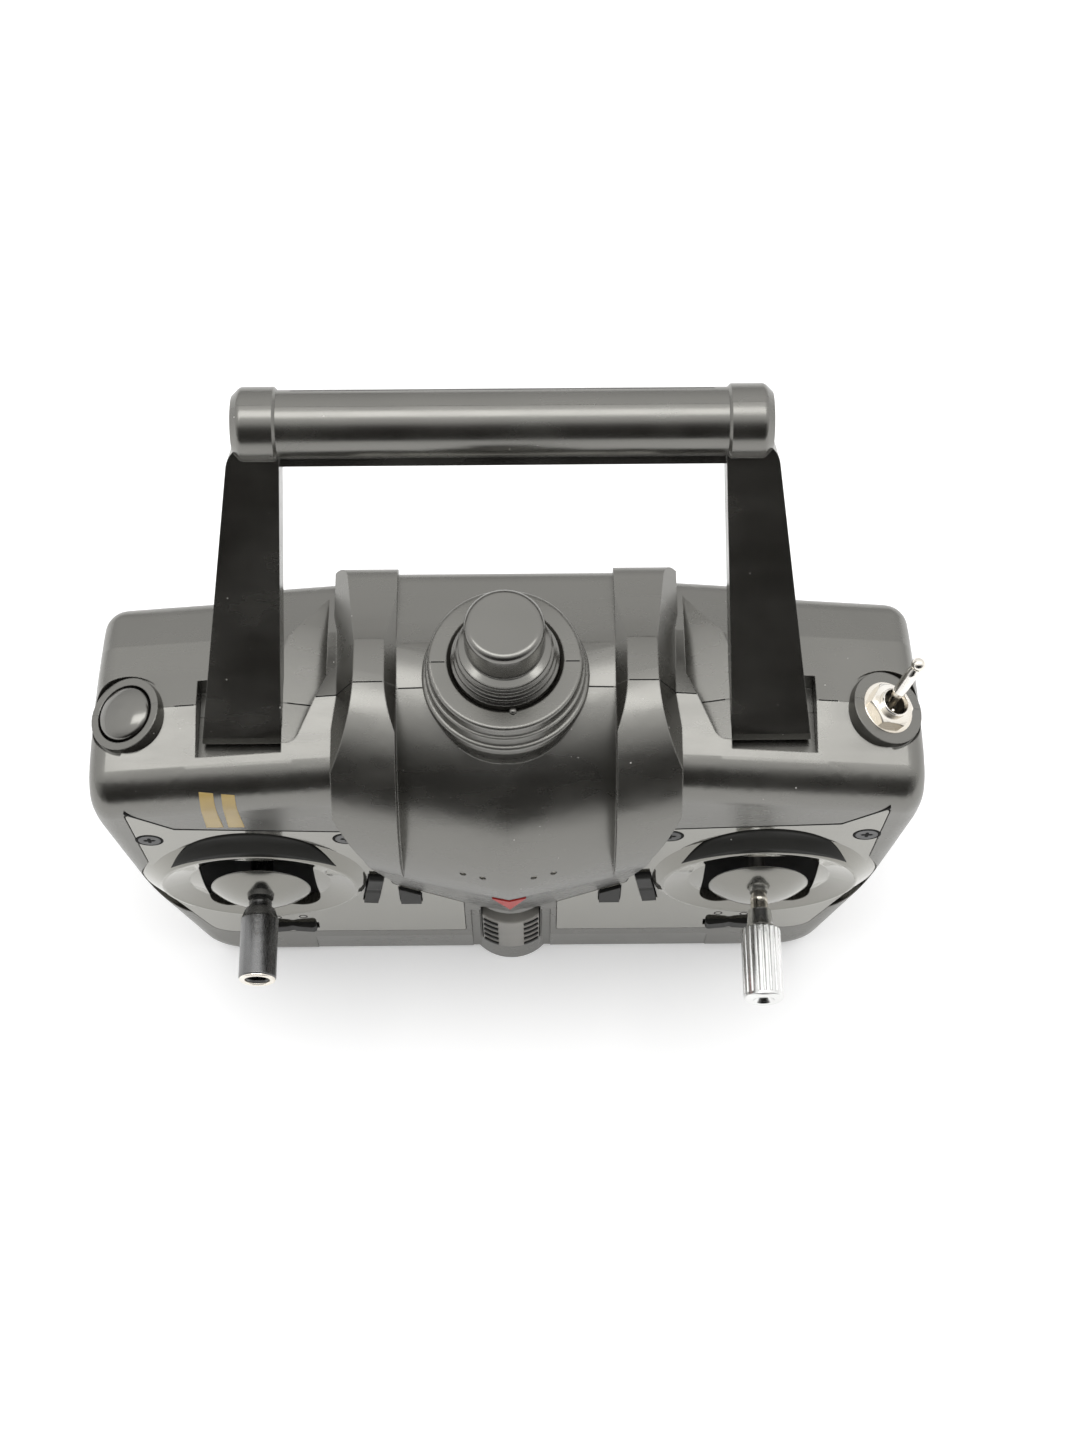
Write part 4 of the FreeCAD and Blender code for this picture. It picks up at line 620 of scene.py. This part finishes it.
def piece(name, bm, finish, body):
    """A bmesh made into an object that wears a finish and rides on a body."""
    bmesh.ops.recalc_face_normals(bm, faces=bm.faces)
    mesh = bpy.data.meshes.new(name)
    bm.to_mesh(mesh)
    bm.free()
    thing = bpy.data.objects.new(name, mesh)
    scene.collection.objects.link(thing)
    mesh.materials.append(finishes[finish])
    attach(thing, body)
    return thing


def laid(bm, grid, lift, sink):
    """Adds a thin closed solid over a grid of (place, normal)."""
    tops = [[bm.verts.new(place + normal * lift) for place, normal in row] for row in grid]
    undersides = [[bm.verts.new(place - normal * sink) for place, normal in row] for row in grid]
    rows, columns = len(grid), len(grid[0])
    for i in range(rows - 1):
        for j in range(columns - 1):
            for layer in (tops, undersides):
                bm.faces.new((layer[i][j], layer[i + 1][j], layer[i + 1][j + 1], layer[i][j + 1]))
    rim = [(i, 0) for i in range(rows)] + [(rows - 1, j) for j in range(1, columns)]
    rim += [(i, columns - 1) for i in range(rows - 2, -1, -1)] + [(0, j) for j in range(columns - 2, 0, -1)]
    for (i, j), (k, m) in zip(rim, rim[1:] + rim[:1]):
        bm.faces.new((tops[i][j], tops[k][m], undersides[k][m], undersides[i][j]))


def lathe(bm, profile, origin, axis, segments=40):
    """Adds a turned closed loop of (radius, height) points about an axis."""
    turn = Vector(axis).to_track_quat("Z", "Y").to_matrix().to_4x4()
    at = Matrix.Translation(Vector(origin)) @ turn
    angles = [2 * math.pi * k / segments for k in range(segments)]
    rings = []
    for radius, height in profile:
        if radius == 0:
            rings.append([bm.verts.new(at @ Vector((0, 0, height)))] * segments)
            continue
        ring = [Vector((radius * math.cos(a), radius * math.sin(a), height)) for a in angles]
        rings.append([bm.verts.new(at @ point) for point in ring])
    for lower, upper in zip(rings, rings[1:] + rings[:1]):
        for k in range(segments):
            corners = [lower[k], lower[k - 1], upper[k - 1], upper[k]]
            distinct = list(dict.fromkeys(corners))
            if len(distinct) > 2:
                bm.faces.new(distinct)


def in_metres(profile):
    """A profile given in mm."""
    return [(radius * MM, height * MM) for radius, height in profile]


def smooth(thing):
    """Shades a piece as one rounded surface."""
    for face in thing.data.polygons:
        face.use_smooth = True


# %% Take the skins
case_skin = skin("front_shell", "back_shell")
face_skin = skin("front_shell", "face_plate_left", "face_plate_right")
handle_skin = skin("handle_front", "handle_rear")
FACE_Y = -21 * MM
TO_VIEWER = Vector((0, -1, 0))


def face_on(tree, x, z):
    """Where a ray from well in front, aimed straight back, meets a skin."""
    return touch(tree, (x, 3 * FACE_Y, z), -TO_VIEWER)


print("front face of the wings at y", FACE_Y)

# %% [markdown]
# ## Stripes
#
# Two slanting stripes are printed on the left of the band above the face plates, the one bit of colour
# besides the lens. Printing ink is thin and a little uneven, so its finish is a satin paint whose tone
# wanders.

# %% Print the stripes
finishes["stripe_ink"] = plastic("stripe_ink", (0.46, 0.33, 0.12), (0.2, 0.3), specular=0.7,
                                 depth=4 * MICRON, dust=0.02, wear_and_highlight=0.0)
STRIPE_TOP, STRIPE_FOOT = 101.4 * MM, 86.6 * MM
STRIPES = ((-68.6, -65.4), (-63.6, -60.6))  # left and right edge at the top, in mm
STRIPE_WIDENS = 0.7  # mm, from top to foot
STRIPE_ROWS, STRIPE_COLUMNS = 30, 6
INK_LIFT, INK_SINK = 0.07 * MM, 0.1 * MM


def print_stripe(name, left, right):
    """A slanting stripe between two edges, which widens a little as it comes down."""
    grid = []
    for step in range(STRIPE_ROWS + 1):
        down = step / STRIPE_ROWS
        height = STRIPE_TOP + (STRIPE_FOOT - STRIPE_TOP) * down
        start, end = left * MM, (right + STRIPE_WIDENS * down) * MM
        columns = [start + (end - start) * k / STRIPE_COLUMNS for k in range(STRIPE_COLUMNS + 1)]
        grid.append([face_on(face_skin, x, height) for x in columns])
    bm = bmesh.new()
    laid(bm, grid, INK_LIFT, INK_SINK)
    piece(name, bm, "stripe_ink", "case")


for number, (left, right) in enumerate(STRIPES, 1):
    print_stripe(f"stripe_{number}", left, right)
print("printed", len(STRIPES), "stripes")

# %% [markdown]
# ## Seams and gaps
#
# The case is two shells, and the line where they meet runs all round it; the handle is two halves as
# well. Each seam is a ribbon a quarter of a millimetre wide in a dead black, laid on the surface. The
# case's seam leaves out what is covered, such as the middle of the underside. The gap above each face
# plate is a bolder flat strip of painted shade, for the shadow in the deeper recess the plate stands in
# there.

# %% Draw the case seam
# Dead black for the seams, and painted shade for the plate gaps and the screws' seats and crosses
finishes["seam_and_shade_black"] = plastic("seam_and_shade_black", (0.006, 0.006, 0.006), (0.6, 0.7), specular=0.1,
                                dust=0.0, wear_and_highlight=0.0)
SEAM_WIDTH = 0.26 * MM
SEAM_LIFT, SEAM_SINK = 0.02 * MM, 0.2 * MM
SEAM_SWING = 150  # degrees to each side of straight up
STEPS_PER_DEGREE = 2
LONGEST_STEP = 1.5 * MM
FEWEST_ROWS = 4
CASE_MIDDLE = Vector((0, 0, 50 * MM))
FAR_OUT = 0.3  # metres, well outside the case
COVERED = ((0.0, 12.5), (49.8, 69.6), (75.5, 96.0))  # mm from the middle: stub, handle arms, switch seats
COVERED_ABOVE = 95 * MM


def seam_station(angle):
    """Two places across the case's edge at an angle from straight up, or None where they are hidden."""
    out = Vector((math.sin(angle), 0, math.cos(angle)))
    row = []
    for half in (-0.5, 0.5):
        start = CASE_MIDDLE + out * FAR_OUT + Vector((0, half * SEAM_WIDTH, 0))
        row.append(touch(case_skin, start, -out))
    if None in row:
        return None
    place = row[0][0]
    hidden = any(low * MM <= abs(place.x) <= high * MM for low, high in COVERED)
    return None if hidden and place.z > COVERED_ABOVE else row


def seam_runs(stations):
    """Splits a list of rows where one is missing or the surface steps, and drops the shortest runs."""
    runs = [[]]
    for row in stations:
        stepped = row and runs[-1] and (row[0][0] - runs[-1][-1][0][0]).length > LONGEST_STEP
        if row is None or stepped:
            runs.append([])
        if row is not None:
            runs[-1].append(row)
    return [run for run in runs if len(run) >= FEWEST_ROWS]


stations = range(-SEAM_SWING * STEPS_PER_DEGREE, SEAM_SWING * STEPS_PER_DEGREE + 1)
runs = seam_runs([seam_station(math.radians(k / STEPS_PER_DEGREE)) for k in stations])
bm = bmesh.new()
for run in runs:
    laid(bm, run, SEAM_LIFT, SEAM_SINK)
piece("case_seam", bm, "seam_and_shade_black", "case")
print("case seam in", len(runs), "runs")

# %% Draw the handle seam
SLEEVE_R = 7.9 * MM  # the bar's thickest stretch, which gives the handle its top and back
BAR_HALF = 44.5 * MM
BAR_STATIONS = 40
SEAM_BEHIND = 0.5 * MM  # the bar's axis
OVER_BAR = 30 * MM
HANDLE_LEAN = math.radians(39)
UP_ARM = Vector((0, math.sin(HANDLE_LEAN), math.cos(HANDLE_LEAN)))
TO_FRONT = Vector((0, -math.cos(HANDLE_LEAN), math.sin(HANDLE_LEAN)))
handle_highs = [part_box(node)[1] for node in ("handle_front", "handle_rear")]
handle_back = max(high[1] for high in handle_highs)
handle_top = max(high[2] for high in handle_highs)
bar_axis = Vector((0, handle_back - SLEEVE_R, handle_top - SLEEVE_R))
grid = []
for k in range(BAR_STATIONS + 1):
    along = Vector((BAR_HALF * (2 * k / BAR_STATIONS - 1), 0, 0))
    start = bar_axis + along + UP_ARM * OVER_BAR - TO_FRONT * SEAM_BEHIND
    grid.append([touch(handle_skin, start + TO_FRONT * half * SEAM_WIDTH, -UP_ARM) for half in (-0.5, 0.5)])
bm = bmesh.new()
laid(bm, grid, SEAM_LIFT, SEAM_SINK)
piece("bar_seam", bm, "seam_and_shade_black", "case")
print("bar axis at", [round(v / MM, 1) for v in bar_axis])

# %% Draw the painted shade in the gaps above the face plates
PLATE_EDGE = ((86.2, 94.8), (76.2, 85.6), (64, 84.8), (50, 84.0), (36, 83.1))  # x and z in mm, right side
# How wide the painted shade is in the recess above each plate
GAP_SHADE_WIDTHS = (0.9, 0.75, 0.5, 0.5, 0.45)  # mm, at the same places
GAP_LIFT, GAP_SINK = 0.03 * MM, 0.3 * MM


def plate_gap_shade(name, side):
    """A dark strip of painted shade along the upper edge of one face plate, flat on the face of the wings.
    """
    grid = []
    for (x, z), width in zip(PLATE_EDGE, GAP_SHADE_WIDTHS):
        heights = [(z + half * width) * MM for half in (-0.5, 0.5)]
        grid.append([(Vector((side * x * MM, FACE_Y, height)), TO_VIEWER) for height in heights])
    bm = bmesh.new()
    laid(bm, grid, GAP_LIFT, GAP_SINK)
    piece(name, bm, "seam_and_shade_black", "case")


plate_gap_shade("plate_gap_shade_left", -1)
plate_gap_shade("plate_gap_shade_right", 1)
print("gaps of", min(GAP_SHADE_WIDTHS), "to", max(GAP_SHADE_WIDTHS), "mm")

# %% [markdown]
# ## Eyelets
#
# Under each ring sit two little eyelets. Each is turned, a closed profile swept round an axis, because
# that gives a round lip with a true hollow from a handful of points.

# %% Turn the eyelets
SIDES = {"left": -1, "right": 1}
EYELET_PLACES = ((58.4, 26.4), (51.9, 27.0))  # x and z in mm, right side
EYELET = in_metres((  # radius and height in mm
    (0, -0.6), (0.55, -0.5), (0.75, 0.03), (0.95, 0.08),
    (1.1, 0.02), (1.1, -0.5), (0.6, -0.9), (0, -0.9),
))
for word, side in SIDES.items():
    bm = bmesh.new()
    for x, z in EYELET_PLACES:
        place, _ = face_on(face_skin, side * x * MM, z * MM)
        lathe(bm, EYELET, place, TO_VIEWER, segments=24)
    smooth(piece(f"eyelets_{word}", bm, "key_black", "case"))
print("turned", 2 * len(EYELET_PLACES), "eyelets")

# %% [markdown]
# ## Painted dark reflections over the rings
#
# The upper slope of each ring is the darkest thing on the face, a crescent that fades out to both sides,
# because it mirrors the dark room in front. The imported ring slopes too gently to look that dark, so a low
# black visor stands in for the slope. It is a stand-in, a painted dark reflection, and not a piece that the
# real object is known to have. It hugs the ring's upper edge, swells a little in its middle and runs out to
# nothing at its tips. A steeper, taller ring would be the other way to do it.

# %% Raise the visors of painted dark reflection
# A black of painted dark reflection, low in gloss so that it stays dark
finishes["visor_black"] = plastic("visor_black", (0.008, 0.008, 0.007), (0.3, 0.4), specular=0.12,
                                  depth=4 * MICRON, dust=0.05, wear_and_highlight=0.0)
RING_X, RING_Z = 60 * MM, 50 * MM
VISOR_INNER = 25.2 * MM
VISOR_WIDTH = 7.6 * MM
VISOR_SPAN = math.radians(50)  # to each side of straight up
VISOR_STATIONS, VISOR_ROWS = 40, 6
TAPER = 1.2
TIP_WIDTH = 0.02  # as a share of the whole width
THIN_EDGE = 0.1  # as a share of the whole height
VISOR_LIFT, VISOR_SINK = 0.5 * MM, 0.3 * MM


def visor_station(side, turn):
    """One row of a visor, from its inner to its outer edge, at an angle from straight up."""
    swell = math.cos(turn / VISOR_SPAN * math.pi / 2) ** TAPER
    row = []
    for m in range(VISOR_ROWS + 1):
        radius = VISOR_INNER + VISOR_WIDTH * (swell + TIP_WIDTH) * m / VISOR_ROWS
        x = side * RING_X + radius * math.sin(turn)
        z = RING_Z + radius * math.cos(turn)
        place, normal = face_on(face_skin, x, z)
        bulge = THIN_EDGE + (1 - THIN_EDGE) * swell * math.sin(math.pi * m / VISOR_ROWS)
        row.append((place, normal * bulge))
    return row


for word, side in SIDES.items():
    turns = [(2 * k / VISOR_STATIONS - 1) * VISOR_SPAN for k in range(VISOR_STATIONS + 1)]
    bm = bmesh.new()
    laid(bm, [visor_station(side, turn) for turn in turns], VISOR_LIFT, VISOR_SINK)
    smooth(piece(f"visor_{word}", bm, "visor_black", "case"))
print("visors are", round(VISOR_WIDTH / MM, 2), "mm wide in the middle")

# %% [markdown]
# ## The plate screws
#
# Each face plate is held by two cross-head screws that sit in round seats. The cross is painted shade: a
# dark plus sign that stands just proud of the head, for the shade in the cross recess. The seat is a dark
# ring of painted shade round it, for the shaded gap round the head. At this size both are read as black
# lines.

# %% Turn the seats and draw the crosses, both painted shade
# The seat ring and the cross are painted shade, in a dead black
SEAT_SHADE_RING = in_metres(((2.6, -0.3), (2.6, 0.03), (2.75, 0.08), (3.1, 0.08), (3.25, 0.03), (3.25, -0.3)))
CROSS_LENGTH, CROSS_WIDTH = 2.9 * MM, 0.8 * MM
CROSS_LIFT, CROSS_SINK = 0.05 * MM, 0.2 * MM
HEAD_DEPTH = 0.2 * MM


def cross_shade(bm, middle):
    """A raised plus sign of painted shade, with pointed ends, facing the front."""
    arm, half = CROSS_LENGTH / 2, CROSS_WIDTH / 2
    outline = [(-half, half), (-half, arm - half), (0, arm), (half, arm - half)]
    points = []
    for quarter in range(4):
        turned = Matrix.Rotation(-quarter * math.pi / 2, 2)
        points += [turned @ Vector(corner) for corner in outline]
    front = [bm.verts.new(middle + Vector((x, -CROSS_LIFT, z))) for x, z in points]
    back = [bm.verts.new(middle + Vector((x, CROSS_SINK, z))) for x, z in points]
    bm.faces.new(front)
    bm.faces.new(back)
    for k in range(len(points)):
        bm.faces.new((front[k - 1], front[k], back[k], back[k - 1]))


screw_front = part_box("front_screws")[0][1]
screw_corners = [vertex.co for vertex in nodes["front_screws"].data.vertices]
bm = bmesh.new()
for side in (-1, 1):
    heads = [co for co in screw_corners if co.y < screw_front + HEAD_DEPTH and co.x * side > 0]
    split = (min(co.x for co in heads) + max(co.x for co in heads)) / 2
    for outer in (True, False):
        head = [co for co in heads if (co.x > split) == outer]
        middle = sum(head, Vector()) / len(head)
        middle.y = screw_front
        lathe(bm, SEAT_SHADE_RING, Vector((middle.x, FACE_Y, middle.z)), TO_VIEWER, segments=28)
        cross_shade(bm, middle)
        print("screw at", [round(v / MM, 1) for v in middle])
piece("screw_seat_shade", bm, "seam_and_shade_black", "case")

# %% [markdown]
# ## The slider's ribs
#
# The power slider carries a column of short ribs on each side, for the thumb. They are laid on the
# slider's own skin, so that they follow its face, and they ride with it.

# %% Raise the slider's ribs
RIBS = 5
RIB_TALL = 1.0 * MM
RIB_START, RIB_END = 3.2 * MM, 6.7 * MM
RIB_COLUMNS = 6
RIB_INSET = 0.1  # bare ends of the slider, in rib spacings
RIB_LIFT, RIB_SINK = 0.4 * MM, 0.1 * MM
slider_skin = skin("power_slider")
slider_low, slider_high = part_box("power_slider")
slider_tall = slider_high[2] - slider_low[2]


def slider_rib(side, middle):
    """The grid under one rib, outwards from beside the slider's middle."""
    steps = [RIB_START + (RIB_END - RIB_START) * m / RIB_COLUMNS for m in range(RIB_COLUMNS + 1)]
    heights = [middle + half * RIB_TALL for half in (-0.5, 0, 0.5)]
    return [[face_on(slider_skin, side * step, height) for height in heights] for step in steps]


bm = bmesh.new()
for side in (-1, 1):
    for k in range(RIBS):
        middle = slider_low[2] + slider_tall * (k + 0.5 + RIB_INSET) / (RIBS + 2 * RIB_INSET)
        laid(bm, slider_rib(side, middle), RIB_LIFT, RIB_SINK)
piece("slider_ribs", bm, "key_black", "power_slider")
print("slider stands", round(slider_tall / MM, 1), "mm tall")

# %% [markdown]
# ## More turned detail
#
# The aerial's foot carries a small lug, the toggle's nut presses on a bright washer, and the left stick's
# hollow grip ends in a polished rim. They are turned shapes again, each about its own part's axis.

# %% Turn the lug
LUG = in_metres(((0, 1.3), (0.45, 1.2), (0.8, 0.8), (0.95, 0.2), (0.95, -0.8), (0, -0.8)))
LUG_PLACE = Vector((1.6, -11.8, 128.2)) * MM
LUG_AXIS = (0.05, -0.3, 1)
bm = bmesh.new()
lathe(bm, LUG, LUG_PLACE, LUG_AXIS, segments=20)
smooth(piece("aerial_lug", bm, "stub_black", "case"))
print("lug at", [round(v / MM, 1) for v in LUG_PLACE])

# %% Turn the washer
WASHER = in_metres(((3.6, -1.12), (6.1, -1.12), (6.25, -1.0), (6.25, -0.85), (6.1, -0.75), (3.6, -0.75)))
SEAT_TILT = math.radians(24)  # outwards, as the shoulder under the toggle leans
SEAT_UP = Vector((math.sin(SEAT_TILT), 0, math.cos(SEAT_TILT)))
nut_low, nut_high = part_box("toggle_nut")
nut_middle = (Vector(nut_low) + Vector(nut_high)) / 2
bm = bmesh.new()
lathe(bm, WASHER, nut_middle, SEAT_UP)
piece("toggle_washer", bm, "bright_metal", "case")
print("nut centred at", [round(v / MM, 1) for v in nut_middle])

# %% Turn the grip's rim
RIM_BAND = 1.1 * MM
RIM_HIGH = 0.25 * MM
RIM_OVERLAP = 0.12 * MM
RIM_STEPS = 6
TIP_DEPTH = 0.3 * MM


def tip_of(node):
    """The front end of a stick's grip: its centre, and the least and greatest radius of its rim."""
    low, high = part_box(node)
    centre = Vector(((low[0] + high[0]) / 2, low[1], (low[2] + high[2]) / 2))
    corners = [vertex.co for vertex in nodes[node].data.vertices if vertex.co.y < low[1] + TIP_DEPTH]
    radii = [math.hypot(corner.x - centre.x, corner.z - centre.z) for corner in corners]
    return centre, min(radii), max(radii)


tip, inner, outer = tip_of("stick_grip_left")
middle_r = (inner + outer) / 2
half_r = (outer - inner) / 2 + RIM_OVERLAP
bends = [math.pi * k / RIM_STEPS for k in range(RIM_STEPS + 1)]
profile = [(middle_r + half_r * math.cos(bend), RIM_HIGH * math.sin(bend)) for bend in bends]
profile += [(middle_r - half_r, -RIM_BAND), (middle_r + half_r, -RIM_BAND)]
bm = bmesh.new()
lathe(bm, profile, tip, TO_VIEWER, segments=48)
smooth(piece("grip_rim_left", bm, "bright_metal", "stick_left"))
print("left grip's rim from", round(inner / MM, 2), "to", round(outer / MM, 2), "mm")

# %% [markdown]
# ## The battery door's grip
#
# The door at the back slides down under a thumb, so it carries a few rounded ridges. Each is a
# half-ellipse swept across the door and closed at its ends.

# %% Raise the ridges
door_low, door_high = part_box("battery_door")
RIDGES = 6
RIDGE_HALF = 11 * MM
RIDGE_HIGH, RIDGE_WIDE = 0.55 * MM, 1.1 * MM
RIDGE_SINK = 0.1 * MM
RIDGE_STATIONS, RIDGE_SIDES = 12, 8
RIDGE_TIP = 0.3  # width at its ends, as a share
BLUNTNESS = 8  # how suddenly the ends drop
FIRST_RIDGE, RIDGE_STEP = 13 * MM, 2.3 * MM


def ridge(bm, height):
    """A rounded bar across the door at some height, tapering into the door at both ends."""
    bends = [math.pi * m / RIDGE_SIDES for m in range(RIDGE_SIDES + 1)]
    rings = []
    for k in range(RIDGE_STATIONS + 1):
        across = 2 * k / RIDGE_STATIONS - 1
        swell = math.sqrt(max(0.0, 1 - across ** BLUNTNESS))
        x = across * RIDGE_HALF
        y = door_high[1] - RIDGE_SINK
        out = swell * RIDGE_HIGH
        half = 0.5 * RIDGE_WIDE * (RIDGE_TIP + (1 - RIDGE_TIP) * swell)
        arc = [(x, y + out * math.sin(bend), height + half * math.cos(bend)) for bend in bends]
        rings.append([bm.verts.new(point) for point in arc])
    for one, two in zip(rings, rings[1:]):
        for m in range(RIDGE_SIDES):
            bm.faces.new((one[m], one[m + 1], two[m + 1], two[m]))
        bm.faces.new((one[-1], one[0], two[0], two[-1]))
    bm.faces.new(rings[0])
    bm.faces.new(rings[-1])


bm = bmesh.new()
for k in range(RIDGES):
    ridge(bm, door_low[2] + FIRST_RIDGE + k * RIDGE_STEP)
smooth(piece("door_ridges", bm, "case_black", "battery_door"))
print("raised", RIDGES, "ridges")

# %% [markdown]
# ## Finish
#
# The plain view transform shows each colour as it is written.

# %% Finish
scene.view_settings.view_transform = "Standard"
